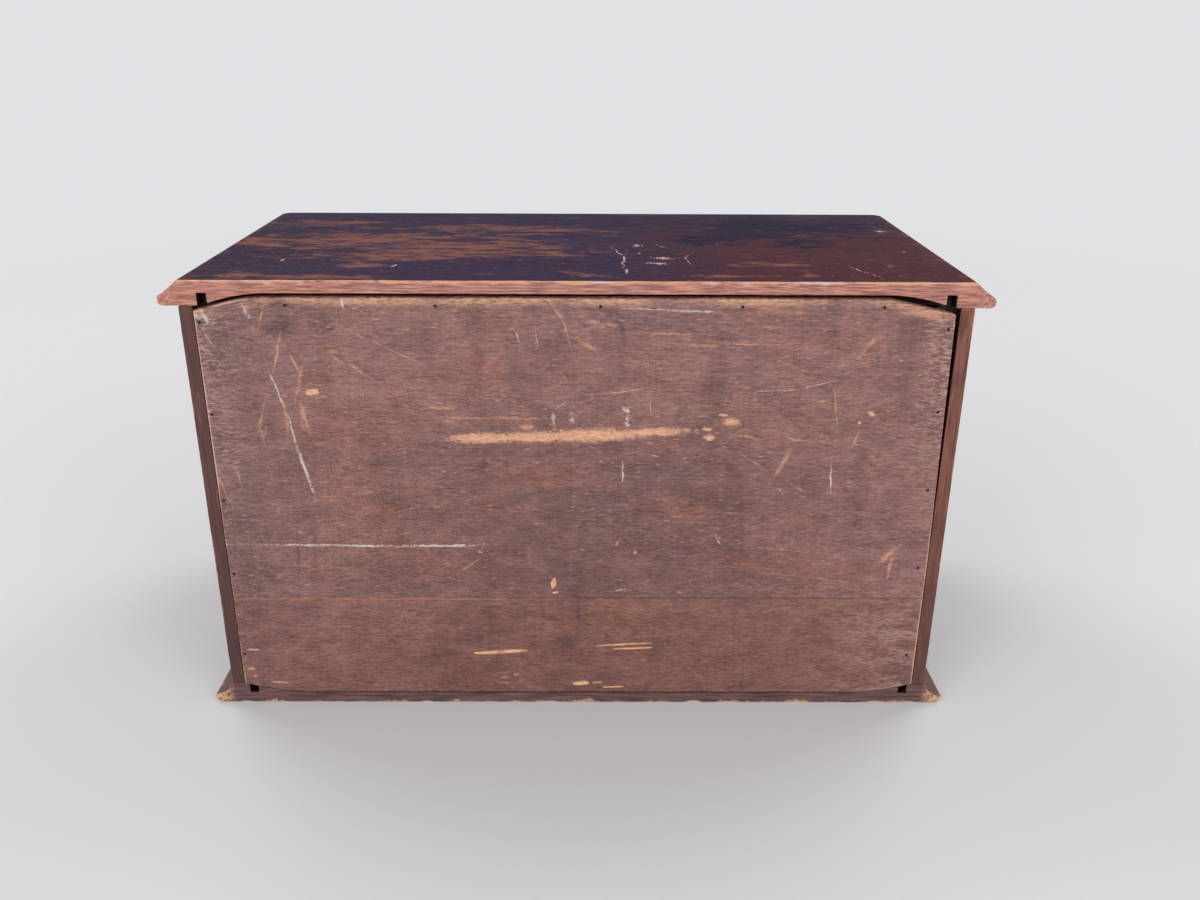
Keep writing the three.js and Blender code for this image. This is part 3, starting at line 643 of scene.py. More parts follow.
def mix_top_finish():
    """Dark finish, worn through in streaks along the grain, black at one end and raw at the rim."""
    mix = Finish("top_finish")
    low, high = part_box("top_board")
    finish, worn = colours().top_finish, colours().top_worn
    raw = colours().raw_wood
    x, y, z = mix.axes()
    fibre = mix.cloud((15, 2.6, 2.6), detail=6.0, roughness=0.75)
    cloudy = mix.cloud((70, 24, 24), detail=4.0, roughness=0.62, distortion=0.6)
    streak = mix.cloud((36, 9, 9), detail=6.0, roughness=0.75, distortion=0.4)
    speckle = mix.cloud((2.0, 2.0, 2.0), detail=2.0, roughness=0.7)
    run = mix.cloud((16, 3, 3), detail=3.0, roughness=0.6)
    share = (x - low.x) / (high.x - low.x) + (cloudy - 0.5) * 0.4
    deep = (y - low.y) / (high.y - low.y)

    # The finish from end to end, worn and stained.
    mix.colour = mix.mixed(share.ease(0.5, 0.25), finish, colours().top_maroon)
    mix.lay(share.ease(0.78, 0.92) * 0.6, shade(finish, 0.72))
    # Painted reflection: a navy cast laid over the front part of the top, where its gloss is seen at a
    # grazing angle.
    mix.lay(deep.ease(0.58, 0.085) * 0.6, tint(34, 31, 52))
    moulded = z.ease(high.z - 1 * MM, high.z - 5 * MM)
    mix.lay(moulded * 0.7, shade(colours().case_stain, 0.62))
    mix.lay(streak.ease(0.56, 0.66) * fibre.ease(0.4, 0.6) * 0.35, worn)
    flat = mix.flattened((1, 1, 0), (14, 9, 9), 7 * MM)
    still = mix.flattened((1, 1, 0), (14, 14, 14), 7 * MM)
    streaks = mix.nearest_mark(flat, TOP_WORN_STREAKS, ALONG_Z, high.z)
    streaks = (streaks + (streak - 0.5) * 14.0 + (fibre - 0.5) * 6.0).ease(1.3, 0.9)
    mix.lay(streaks * 0.85, worn)
    black = mix.nearest_mark(flat, TOP_BLACK_PATCH, ALONG_Z, high.z)
    black = (black + (streak - 0.5) * 6.0 + (fibre - 0.5) * 5.0).ease(1.35, 0.8)
    mix.lay(black * 0.85, colours().top_black)
    mix.tone(0.5 + fibre.ease(0.28, 0.72) * 1.05)
    mix.lay(speckle.ease(0.70, 0.78) * 0.7, shade(worn, 1.3))
    # Painted glints: tiny orange dots towards one end and pale dots elsewhere stand in for small highlights
    # on the finish.
    dots = mix.cloud((1.2, 1.8, 1.2), detail=2.0, roughness=0.5)
    mix.lay(dots.ease(0.68, 0.74) * share.ease(0.6, 0.9) * 0.8, tint(176, 120, 92))
    mix.lay(dots.ease(0.3, 0.24) * cloudy.ease(0.45, 0.6) * 0.8, tint(198, 172, 164))
    pale = mix.nearest_mark(still, TOP_WHITE_SCRATCHES, ALONG_Z, high.z)
    pale = (pale + (speckle - 0.5) * 4.0 + (dots - 0.5) * 6.0).ease(1.0, 0.5)
    in_scratch = mix.mixed(run.ease(0.45, 0.55), colours().pale_scratch, tint(206, 146, 112))
    mix.lay(pale * 0.85, in_scratch)

    # The rim of the upper face.
    inset = (high.x - abs(x)).least(y - low.y)
    rim_wear = (inset + (cloudy - 0.5) * 60 * MM + (run - 0.5) * 20 * MM).ease(24 * MM, 10 * MM)
    rim_wear = rim_wear * fibre.ease(0.44, 0.58) * (1 - moulded * 0.5)
    rubbed = mix.mixed(speckle.ease(0.4, 0.6), shade(worn, 0.5), shade(worn, 1.25))
    mix.lay(rim_wear * 0.7, rubbed)
    arris = mix.arris_gap((x, y, z), low, high) + (run - 0.5) * 4.5 * MM + (speckle - 0.5) * 0.8 * MM
    mix.lay(arris.ease(1.4 * MM, 0.4 * MM) * 0.85, shade(raw, 0.95))

    # The underside, bare inside the case.
    underside = z.ease(high.z - 10 * MM, high.z - 15 * MM)
    mix.lay(underside * 0.7, colours().case_stain)
    inside = (abs(x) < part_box("rail_1")[1].x) * (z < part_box("drawer_1_front")[1].z + 2 * MM)
    inside = inside * (y > low.y + 22 * MM)
    bare = mix.mixed(fibre.ease(0.3, 0.7), shade(colours().bare_wood, 0.6), colours().bare_wood)
    mix.lay(inside, bare)

    # The unfinished back edge.
    behind = y.ease(high.y - 1.2 * MM, high.y - 0.3 * MM)
    back_fibre = mix.cloud((22, 22, 1.1), detail=5.0, roughness=0.68)
    edge = mix.mixed(back_fibre.ease(0.34, 0.66), tint(130, 86, 83), tint(210, 150, 132))
    edge = mix.mixed(cloudy.ease(0.5, 0.7) * 0.55, edge, tint(186, 124, 100))
    edge = mix.mixed(cloudy.ease(0.48, 0.3) * 0.55, edge, tint(130, 98, 104))
    edge = mix.mixed(speckle.ease(0.66, 0.74) * 0.5, edge, tint(92, 60, 58))
    chipped = (high.z - z + (run - 0.5) * 9 * MM + (back_fibre - 0.5) * 2 * MM).ease(2.2 * MM, 0.8 * MM)
    torn = mix.mixed(cloudy.ease(0.48, 0.6), tint(222, 160, 128), tint(208, 186, 180))
    edge = mix.mixed(chipped * 0.85, edge, torn)
    nose = (high.x - abs(x) + (cloudy - 0.5) * 8 * MM).ease(13 * MM, 8 * MM)
    blunted = mix.mixed(speckle.ease(0.35, 0.65), tint(150, 102, 90), tint(206, 154, 130))
    edge = mix.mixed(nose * 0.85, edge, blunted)
    mix.lay(behind, edge)
    # Painted shade: the deep rebate behind the back boards is darkened, where shade falls.
    mix.lay(in_rebate(x, y) * (z < high.z - 9 * MM) * 0.85, colours().painted_rebate_shade)

    height = fibre * 0.6 + streak * 0.4
    rough = 0.56 + streaks * 0.2 + behind * 0.2 + rim_wear * 0.1 + (cloudy - 0.5) * 0.24
    return mix.surface(rough, height, depth=0.14, specular=0.02)


def mix_case_wood():
    """Stained sides and base: dark faces, bare wood inside, pinkish back edges, rubbed arrises."""
    mix = Finish("stained_case")
    side_low, side_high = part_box("side_right")
    base_low, base_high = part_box("base_board")
    rail_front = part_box("rail_1")[0].y
    stain, raw, bare_wood = colours().case_stain, colours().raw_wood, colours().bare_wood
    x, y, z = mix.axes()
    is_base = z < base_high.z + 0.1 * MM
    upright = mix.cloud((1.8, 1.8, 34), detail=5.0, roughness=0.65)
    level = mix.cloud((34, 1.8, 1.8), detail=5.0, roughness=0.65)
    fibre = upright * (1 - is_base) + level * is_base
    cloudy = mix.cloud((34, 30, 60), detail=4.0, roughness=0.6, distortion=0.4)
    speckle = mix.cloud((2.2, 2.2, 2.2), detail=2.0, roughness=0.7)
    streak_up = mix.cloud((5, 5, 50), detail=4.0, roughness=0.7)

    # The stained faces.
    mix.colour = mix.mixed(fibre.ease(0.3, 0.7), shade(stain, 0.62), shade(stain, 1.4))
    mix.lay(cloudy.ease(0.5, 0.72) * 0.5, shade(stain, 1.9))
    mix.lay(streak_up.ease(0.62, 0.78) * 0.45, tint(140, 90, 72))
    mix.lay(speckle.ease(0.74, 0.8) * 0.5, raw)
    mix.lay(speckle.ease(0.3, 0.24) * 0.6, shade(stain, 0.3))

    # Bare wood inside the case.
    within = (abs(x) < side_high.x - 18 * MM) * (y > rail_front + 7 * MM) * (z > base_high.z - 1 * MM)
    bare = mix.mixed(fibre.ease(0.3, 0.7), shade(bare_wood, 0.55), bare_wood)
    bare = mix.mixed(cloudy.ease(0.5, 0.7) * 0.4, bare, shade(bare_wood, 0.5))
    mix.lay(within, bare)

    # The back edges of the sides and of the base.
    behind = y.ease(side_high.y - 1.0 * MM, side_high.y - 0.3 * MM)
    edge_colour = colours().back_edge
    edge = mix.mixed(fibre.ease(0.3, 0.7), shade(edge_colour, 0.45), shade(edge_colour, 1.1))
    edge = mix.mixed(x.ease(-100 * MM, 100 * MM) * 0.62, edge, tint(66, 50, 54))
    edge = mix.mixed(cloudy.ease(0.45, 0.65) * 0.5, edge, tint(92, 56, 50))
    edge = mix.mixed(z.ease(220 * MM, 60 * MM) * 0.45, edge, tint(74, 52, 52))
    edge = mix.mixed(streak_up.ease(0.6, 0.7) * 0.4, edge, tint(176, 124, 106))
    mix.lay(behind * (1 - is_base), edge)
    base_edge = mix.mixed(fibre.ease(0.3, 0.7), tint(74, 52, 54), tint(124, 92, 90))
    low_rub = (z + (cloudy - 0.4) * 24 * MM + (speckle - 0.5) * 5 * MM).ease(3.0 * MM, 0.6 * MM)
    base_edge = mix.mixed(low_rub, base_edge, mix.mixed(fibre.ease(0.4, 0.6), shade(raw, 0.55), raw))
    ends = base_high.x - abs(x) + (speckle - 0.5) * 5 * MM + (cloudy - 0.5) * 12 * MM
    torn = mix.mixed(speckle.ease(0.5, 0.62), raw, tint(120, 84, 72))
    base_edge = mix.mixed(ends.ease(18 * MM, 8 * MM) * 0.85, base_edge, torn)
    mix.lay(behind * is_base, base_edge)

    # Painted shade: the deep rebate behind the back boards is darkened, where shade falls.
    mix.lay(in_rebate(x, y) * (z > 1 * MM) * 0.85, colours().painted_rebate_shade)

    # Rubbed arrises, and the base's underside.
    side_arris = mix.arris_gap((abs(x), y, z), (side_low.x, side_low.y, base_high.z),
                             (side_high.x, side_high.y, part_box("top_board")[0].z))
    base_arris = mix.arris_gap((x, y, z), base_low, base_high)
    arris = side_arris * (1 - is_base) + base_arris * is_base
    arris = arris + (speckle - 0.5) * 2.4 * MM + (cloudy - 0.42) * 7 * MM
    mix.lay(arris.ease(1.1 * MM, 0.2 * MM) * 0.7 * (1 - within), shade(raw, 0.62))
    nose_rub = (base_high.x - abs(x)).least(y - base_low.y)
    nose_rub = nose_rub + (cloudy - 0.42) * 14 * MM + (speckle - 0.5) * 3 * MM
    mix.lay(nose_rub.ease(2.2 * MM, 0.6 * MM) * is_base * 0.7, shade(raw, 0.62))
    underside = z < 0.4 * MM
    under = mix.mixed(level.ease(0.3, 0.7), tint(96, 74, 64), tint(146, 116, 96))
    mix.lay(underside, under)

    height = fibre * 0.7 + speckle * 0.2 + streak_up * 0.2
    rough = 0.46 + behind * 0.22 + within * 0.25 + underside * 0.25 + (cloudy - 0.5) * 0.2
    return mix.surface(rough, height, depth=0.13, specular=0.25)


def mix_rail_wood():
    """Rails: stained on the front edge, bare behind it, with the stain running out unevenly."""
    mix = Finish("stained_rail")
    low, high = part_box("rail_3")
    stain, bare, raw = colours().case_stain, colours().bare_wood, colours().raw_wood
    x, y, z = mix.axes()
    fibre, band = mix.lumber(ALONG_X)
    speckle = mix.cloud((2.0, 2.0, 2.0), detail=2.0, roughness=0.7)
    mix.colour = mix.mixed(fibre.ease(0.3, 0.7), shade(bare, 0.6), shade(bare, 1.02))
    mix.lay(band.ease(0.5, 0.75) * 0.5, shade(bare, 0.5))
    front = (y - low.y + (fibre - 0.5) * 5 * MM).ease(4.5 * MM, 3.2 * MM)
    stained = mix.mixed(fibre.ease(0.3, 0.7), shade(stain, 0.62), shade(stain, 1.45))
    mix.lay(front, stained)
    runner_rub = (y - low.y).ease(4 * MM, 10 * MM) * abs(x).ease(high.x - 26 * MM, high.x - 16 * MM)
    mix.lay(runner_rub * 0.5, shade(bare, 0.42))
    in_rail = z - z.storey(low.z) * DRAWER_PITCH
    worn = mix.arris_gap((x, y, in_rail), low, high) + (speckle - 0.5) * 1.2 * MM + (band - 0.4) * 4 * MM
    mix.lay(worn.ease(0.9 * MM, 0.3 * MM) * front * 0.6, shade(raw, 0.7))
    return mix.surface(0.7 - front * 0.22 - fibre * 0.1, fibre, depth=0.1, specular=0.25)


def mix_drawer_face():
    """Polished drawer fronts: figured wood, rubbed arrises, grime round the knobs, a bare label field."""
    mix = Finish("polished_front")
    low, high = FRONT_LOW, FRONT_HIGH
    knob_low, knob_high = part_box("drawer_4_knob_left")
    knob_x, knob_z = abs(knob_low.x + knob_high.x) / 2, (knob_low.z + knob_high.z) / 2
    stain, bare, raw = colours().drawer_stain, colours().bare_wood, colours().raw_wood
    x, y, z = mix.axes()
    drawer = z.storey(FRONT_LOW.z)
    in_drawer = z - drawer * DRAWER_PITCH
    shift = mix.node("CombineXYZ", inputs={"X": drawer * 0.83, "Y": drawer * 0.31})
    own = mix.shifted(mix.place, shift)
    fibre = mix.cloud((30, 1.8, 1.8), detail=5.0, roughness=0.62, place=own)
    figure = mix.cloud((120, 16, 9), detail=3.0, distortion=1.2, place=own)
    cloudy = mix.cloud((60, 30, 30), detail=4.0, roughness=0.6, place=own)
    speckle = mix.cloud((2.0, 2.0, 2.0), detail=2.0, roughness=0.7, place=own)
    scratch = mix.cloud((14, 1.5, 0.9), detail=1.0, roughness=0.3, place=own)

    mix.colour = mix.mixed(fibre.ease(0.3, 0.7), shade(stain, 0.6), shade(stain, 1.4))
    mix.lay(figure.ease(0.48, 0.62) * 0.45, shade(stain, 0.42))
    mix.lay(cloudy.ease(0.5, 0.75) * 0.4, shade(stain, 1.9))
    mix.lay(scratch.ease(0.74, 0.8) * 0.5, shade(raw, 0.7))
    knob_gap = (abs(x) - knob_x).longer_side(in_drawer - knob_z)
    grime = (knob_gap + (cloudy - 0.5) * 26 * MM).ease(30 * MM, 9 * MM)
    mix.lay(grime * 0.65, shade(stain, 0.3))
    ring = (knob_gap + (speckle - 0.5) * 2 * MM).ease(13.5 * MM, 11.5 * MM)
    mix.lay(ring * knob_gap.ease(10 * MM, 11 * MM) * 0.5, tint(150, 104, 72))
    arris = mix.arris_gap((x, y, in_drawer), low, high)
    arris = arris + (speckle - 0.5) * 1.6 * MM + (fibre - 0.5) * 1.5 * MM
    mix.lay(arris.ease(1.5 * MM, 0.4 * MM) * 0.8, shade(raw, 0.72))
    beside, above = abs(x), abs(in_drawer - knob_z)
    in_label = (beside < LABEL_HALF_LENGTH + 0.2 * MM) * (above < LABEL_HALF_HEIGHT + 0.2 * MM)
    sunk = (y - low.y).ease(0.5 * MM, 1.1 * MM) * in_label
    label = mix.mixed(fibre.ease(0.3, 0.7), shade(bare, 0.72), shade(bare, 1.1))
    label = mix.mixed(cloudy.ease(0.45, 0.7) * 0.55, label, shade(bare, 0.5))
    # Darker towards the rim of the sunk field: grime along its edges and painted shade in the recess.
    from_rim = (LABEL_HALF_LENGTH - beside).least(LABEL_HALF_HEIGHT - above)
    from_rim = from_rim + (speckle - 0.5) * 1.5 * MM + (cloudy - 0.5) * 9 * MM
    label = mix.mixed(from_rim.ease(4.5 * MM, 0.4 * MM) * 0.75, label, shade(bare, 0.25))
    label = mix.mixed(speckle.ease(0.66, 0.74) * 0.45, label, shade(bare, 0.35))
    mix.lay(sunk, label)
    side_faces = y > low.y + 3.5 * MM
    inner = mix.mixed(fibre.ease(0.3, 0.7), shade(bare, 0.58), shade(bare, 1.02))
    end = mix.end_grain(ALONG_X)
    inner = mix.mixed(end * 0.6, inner, shade(bare, 0.42))
    mix.lay(side_faces, inner)
    height = fibre * 0.6 + scratch.ease(0.7, 0.8) * -0.4
    rough = 0.34 + sunk * 0.35 + side_faces * 0.32 + (cloudy - 0.5) * 0.2 + grime * 0.08
    return mix.surface(rough, height, depth=0.07, specular=0.35)


def mix_bare_wood(along):
    """Unfinished drawer and runner wood whose grain runs along one axis."""
    mix = Finish("bare_wood_along_" + "xyz"[along])
    bare = colours().bare_wood
    z = mix.axes()[ALONG_Z]
    drawer = z.storey(FRONT_LOW.z)
    shift = mix.node("CombineXYZ", inputs={"X": drawer * 0.57, "Y": drawer * 0.29})
    own = mix.shifted(mix.place, shift)
    fibre, band = mix.lumber(along, place=own)
    cloudy = mix.cloud((50, 50, 40), detail=4.0, roughness=0.6, place=own)
    speckle = mix.cloud((2.2, 2.2, 2.2), detail=2.0, roughness=0.7)
    mix.colour = mix.mixed(fibre.ease(0.3, 0.7), shade(bare, 0.66), shade(bare, 1.1))
    mix.lay(band.ease(0.48, 0.7) * 0.45, shade(bare, 0.58))
    mix.lay(cloudy.ease(0.5, 0.75) * 0.4, tint(120, 88, 70))
    end = mix.end_grain(along)
    mix.lay(end * 0.6, shade(bare, 0.4))
    mix.lay(speckle.ease(0.74, 0.8) * 0.4, shade(bare, 0.3))
    in_drawer = z - FRONT_LOW.z - drawer * DRAWER_PITCH
    handled = in_drawer.ease(52 * MM, 64 * MM) * cloudy.ease(0.3, 0.6)
    mix.lay(handled * 0.4, shade(bare, 0.5))
    return mix.surface(0.74 - fibre * 0.12, fibre * 0.8 + speckle * 0.2, depth=0.1, specular=0.25)


def mix_raw_wood():
    """Fresh wood where a chip or splinter has come away."""
    mix = Finish("raw_wood")
    raw = colours().raw_wood
    fibre = mix.cloud((9, 1.0, 0.8), detail=4.0, roughness=0.7)
    cloudy = mix.cloud((14, 9, 6), detail=3.0)
    mix.colour = mix.mixed(fibre.ease(0.3, 0.56), shade(raw, 0.56), shade(raw, 1.1))
    mix.lay(cloudy.ease(0.52, 0.7) * 0.5, tint(156, 106, 80))
    return mix.surface(0.82 - fibre * 0.1, fibre, depth=0.25, specular=0.2)


def mix_brass():
    """Brass that has dulled, dark in its hollows and brighter where fingers rub it."""
    mix = Finish("dull_brass")
    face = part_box("drawer_1_knob_left")[0].y
    length = FRONT_LOW.y - face
    brass = colours().brass
    y = mix.axes()[ALONG_Y]
    mottle = mix.cloud((5, 5, 5), detail=4.0, roughness=0.62)
    speck = mix.cloud((1.1, 1.1, 1.1), detail=2.0, roughness=0.7)
    turning = mix.cloud((6, 0.35, 6), detail=1.0)
    rubbed = (y - face + (mottle - 0.5) * 6 * MM).ease(length * 0.42, length * 0.05)
    mix.colour = mix.mixed(mottle.ease(0.35, 0.68), shade(brass, 0.42), shade(brass, 0.95))
    mix.lay(rubbed * 0.75, shade(brass, 1.35))
    hollow = (y - face).ease(length * 0.45, length * 0.7) * (y - face).ease(length, length * 0.8)
    mix.lay(hollow * 0.6, tint(58, 42, 28))
    mix.lay(speck.ease(0.68, 0.76) * 0.7, tint(44, 34, 26))
    rough = 0.46 - rubbed * 0.18 + (mottle - 0.5) * 0.3 + hollow * 0.15
    return mix.surface(rough, turning * 0.4 + speck * 0.6, depth=0.04, metallic=0.9)


def mix_iron():
    """Nail heads gone to dark rust."""
    mix = Finish("nail_iron")
    iron = colours().iron
    scale = mix.cloud((0.8, 0.8, 0.8), detail=3.0, roughness=0.7)
    mix.colour = mix.mixed(scale.ease(0.45, 0.7), iron, tint(84, 54, 42))
    return mix.surface(0.62 + scale * 0.3, scale, depth=0.12, metallic=0.35)


FINISHES = {
    "unfinished_back": mix_back_wood,
    "top_finish": mix_top_finish,
    "stained_case": mix_case_wood,
    "stained_rail": mix_rail_wood,
    "polished_front": mix_drawer_face,
    "bare_wood_along_x": lambda: mix_bare_wood(ALONG_X),
    "bare_wood_along_y": lambda: mix_bare_wood(ALONG_Y),
    "raw_wood": mix_raw_wood,
    "dull_brass": mix_brass,
    "nail_iron": mix_iron,
}


def finish(name):
    """The material of that name, mixed the first time that it is asked for."""
    return bpy.data.materials.get(name) or FINISHES[name]()


def choose(*pieces):
    """Select these pieces and nothing else, the first of them active."""
    bpy.ops.object.select_all(action="DESELECT")
    for piece in pieces:
        piece.select_set(True)
    bpy.context.view_layer.objects.active = pieces[0]


@contextlib.contextmanager
def shaping(piece):
    """Edit mode on one piece, with all of its mesh selected to begin with."""
    choose(piece)
    bpy.ops.object.mode_set(mode="EDIT")
    bpy.ops.mesh.select_mode(type="VERT")
    bpy.ops.mesh.select_all(action="SELECT")
    try:
        yield
    finally:
        bpy.ops.object.mode_set(mode="OBJECT")


def pick(piece, kind, wanted):
    """In edit mode, select only those verts, edges or faces that are wanted."""
    mesh = bmesh.from_edit_mesh(piece.data)
    found = [part.index for part in getattr(mesh, kind) if wanted(part)]
    if not found:
        raise RuntimeError(f"{piece.name} has none of the {kind} that were to be shaped")
    bpy.ops.mesh.select_all(action="DESELECT")
    bpy.ops.mesh.select_mode(type={"verts": "VERT", "edges": "EDGE", "faces": "FACE"}[kind])
    parts = getattr(bmesh.from_edit_mesh(piece.data), kind)
    parts.ensure_lookup_table()
    for index in found:
        parts[index].select_set(True)
    bmesh.update_edit_mesh(piece.data)


def settle(piece):
    """Put a piece's place into its mesh, so that its object stands unturned at the origin."""
    choose(piece)
    bpy.ops.object.transform_apply(location=True, rotation=True, scale=True)


def joined(pieces, name):
    """Several pieces made one."""
    choose(*pieces)
    if len(pieces) > 1:
        bpy.ops.object.join()
    whole = bpy.context.view_layer.objects.active
    whole.name = name
    settle(whole)
    return whole


def with_modifier(piece, kind, **settings):
    """Add a modifier to a piece, and apply it at once."""
    choose(piece)
    bpy.ops.object.modifier_add(type=kind)
    modifier = piece.modifiers[-1]
    for name, value in settings.items():
        setattr(modifier, name, value)
    bpy.ops.object.modifier_apply(modifier=modifier.name)


def blank(node, name):
    """A welded copy of a CAD node's shape, to be worn and finished in its place."""
    choose(frame["nodes"][node])
    bpy.ops.object.duplicate()
    piece = bpy.context.view_layer.objects.active
    bpy.ops.object.parent_clear(type="CLEAR_KEEP_TRANSFORM")
    piece.name = name
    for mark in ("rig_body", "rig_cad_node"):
        del piece[mark]
    bpy.ops.mesh.customdata_custom_splitnormals_clear()
    with shaping(piece):
        bpy.ops.mesh.remove_doubles(threshold=WELD_GAP)
        bpy.ops.mesh.dissolve_limited(angle_limit=math.radians(0.5))
    return piece


def copied(piece, name, step):
    """Another piece of the same shape, with its own mesh, a step away."""
    choose(piece)
    bpy.ops.object.duplicate()
    other = bpy.context.view_layer.objects.active
    other.name = name
    bpy.ops.transform.translate(value=step)
    settle(other)
    return other


def round_arrises(piece, rounding, spared=lambda edge: False):
    """Round a piece's sharp edges but the spared ones, and remember the middle line of each rounding."""
    with shaping(piece):
        pick(piece, "edges", lambda edge: (
            edge.is_manifold and edge.calc_face_angle() > SHARP and not spared(edge)))
        bpy.ops.mesh.bevel(
            offset=rounding, offset_type="OFFSET", segments=2, affect="EDGES", clamp_overlap=False)
        bpy.ops.mesh.select_mode(type="VERT")
        bpy.ops.mesh.select_less()
        bpy.ops.object.vertex_group_assign_new()


def slice_across(piece, axis, spacing, wanted=lambda face: True):
    """Cut the wanted faces into strips across one axis, so that long edges can wear unevenly."""
    places = [vertex.co[axis] for vertex in piece.data.vertices]
    low, high = min(places), max(places)
    strips = max(2, round((high - low) / spacing))
    with shaping(piece):
        pick(piece, "faces", wanted)
        bpy.ops.mesh.hide(unselected=True)
        for strip in range(1, strips):
            at, across = Vector(), Vector()
            at[axis], across[axis] = low + (high - low) * strip / strips, 1.0
            bpy.ops.mesh.select_all(action="SELECT")
            bpy.ops.mesh.bisect(plane_co=at, plane_no=across)
        bpy.ops.mesh.reveal()


def wear_unevenly(piece, depth, seed, spared=lambda vertex: False):
    """Push the middle lines of a piece's roundings about a little, but for the spared points."""
    with shaping(piece):
        bpy.ops.mesh.select_all(action="DESELECT")
        bpy.ops.object.vertex_group_select()
        pick(piece, "verts", lambda vertex: (
            vertex.select and max(map(abs, vertex.normal)) < 0.88 and not spared(vertex)))
        bpy.ops.transform.vertex_random(offset=depth, seed=seed)
    bpy.ops.object.vertex_group_remove(all=True)


def smooth(piece):
    """Shade curves as curves, and let the broad faces keep their flatness next to small roundings."""
    choose(piece)
    bpy.ops.object.shade_smooth_by_angle(angle=math.radians(30))
    with_modifier(piece, "WEIGHTED_NORMAL", keep_sharp=True)


def nose_height(piece):
    """How high the nose of a moulding lies."""
    return max(piece.data.vertices, key=lambda vertex: vertex.co.x).co.z


def lump(at, scale, tilt=0.0):
    """A rough ball, drawn out to a scale and tilted about Y."""
    bpy.ops.mesh.primitive_ico_sphere_add(
        subdivisions=2, radius=1.0, location=at, rotation=(0, -tilt, 0), scale=scale)
    made = bpy.context.view_layer.objects.active
    settle(made)
    return made


def chips_along(start, end, count, seed, bite):
    """Jagged lumps strung at uneven distances along an edge, each clear of the next."""
    chance = random.Random(seed)
    run = Vector(end) - Vector(start)
    along = ALONG_X if abs(run.x) > abs(run.y) else ALONG_Y
    room = run.length / count
    lumps = []
    for number in range(count):
        size = chance.uniform(0.35, 1.2) ** 1.5
        scale = [sizes().chip_depth * size * chance.uniform(0.7, 1.2) * bite[axis] for axis in range(3)]
        scale[along] = min(sizes().chip_length / 2 * size * bite[along], 0.44 * room)
        slack = 0.48 - scale[along] / room
        at = Vector(start) + run * (number + 0.5 + chance.uniform(-slack, slack)) / count
        lumps.append(lump(at, scale))
    return lumps


def splinters(marks, strand, depth):
    """One strand of each torn splinter of a face that looks along Y: a long flat lump to cut away."""
    aside, above, length, width = strand
    return [
        lump(middle + Vector((half_length * aside, 0, half_width * above)),
             (half_length * length, depth, half_width * width), tilt)
        for middle, half_length, half_width, tilt in marks
    ]


def cut_away(piece, lumps, jag, seed, inside=None):
    """Cut lumps out of a piece; the wood that they lay bare takes the finish named inside."""
    cutter = joined(lumps, piece.name + "_cutter")
    if inside:
        cutter.data.materials.append(finish(inside))
    with shaping(cutter):
        bpy.ops.transform.vertex_random(offset=jag, seed=seed)
        bpy.ops.mesh.normals_make_consistent(inside=False)
    with_modifier(piece, "BOOLEAN", operation="DIFFERENCE", solver="MANIFOLD", object=cutter,
                  material_mode="TRANSFER")
    bpy.data.objects.remove(cutter)
    if not piece.data.polygons:
        raise RuntimeError(f"nothing is left of {piece.name} once its chips are cut")


def chip_edges(piece, runs):
    """Chip a piece along straight runs, each with its ends, its number of chips, how they bite on each
    axis and whether they lay fresh wood bare. The number of chips is also the run's random seed."""
    for start, end, count, bite, is_fresh in runs:
        chips = chips_along(start, end, count, count, bite)
        cut_away(piece, chips, JAG, count, inside="raw_wood" if is_fresh else None)


def give_finish(piece, name):
    """Make one finish the piece's only one, before any chips are cut."""
    piece.data.materials.clear()
    piece.data.materials.append(finish(name))


def moulded_blank(node, name, finish_name, rounding, wear, seed):
    """The top or the base in its finish, its arrises rounded and worn by shares of the usual rounding."""
    board = blank(node, name)
    give_finish(board, finish_name)
    round_arrises(board, sizes().arris_rounding * rounding)
    slice_across(board, ALONG_X, sizes().strip_width)
    slice_across(board, ALONG_Y, sizes().strip_width,
                 lambda face: abs(face.calc_center_median().x) > SIDE_INSIDE + 8 * MM)
    wear_unevenly(board, sizes().arris_rounding * wear, seed)
    return board


def put_in_place(piece, body, slot, *nodes):
    """Let a finished piece ride on its body and stand for its CAD nodes."""
    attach(piece, body)
    if nodes:
        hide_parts(*nodes)


def ease_node(node, finish_name):
    """Finish a CAD node that keeps its shape, with its edges just eased."""
    piece = frame["nodes"][node]
    give_finish(piece, finish_name)
    choose(piece)
    bpy.ops.object.modifier_add(type="WELD")
    piece.modifiers[-1].merge_threshold = WELD_GAP
    bpy.ops.object.modifier_add(type="BEVEL")
    bevel = piece.modifiers[-1]
    bevel.width, bevel.segments = sizes().inner_rounding, 2
    bevel.limit_method, bevel.angle_limit = "ANGLE", SHARP
    bevel.use_clamp_overlap = True


class CabinetOperator:
    """What all of the cabinet's operators have in common."""

    bl_options = {"REGISTER", "UNDO"}


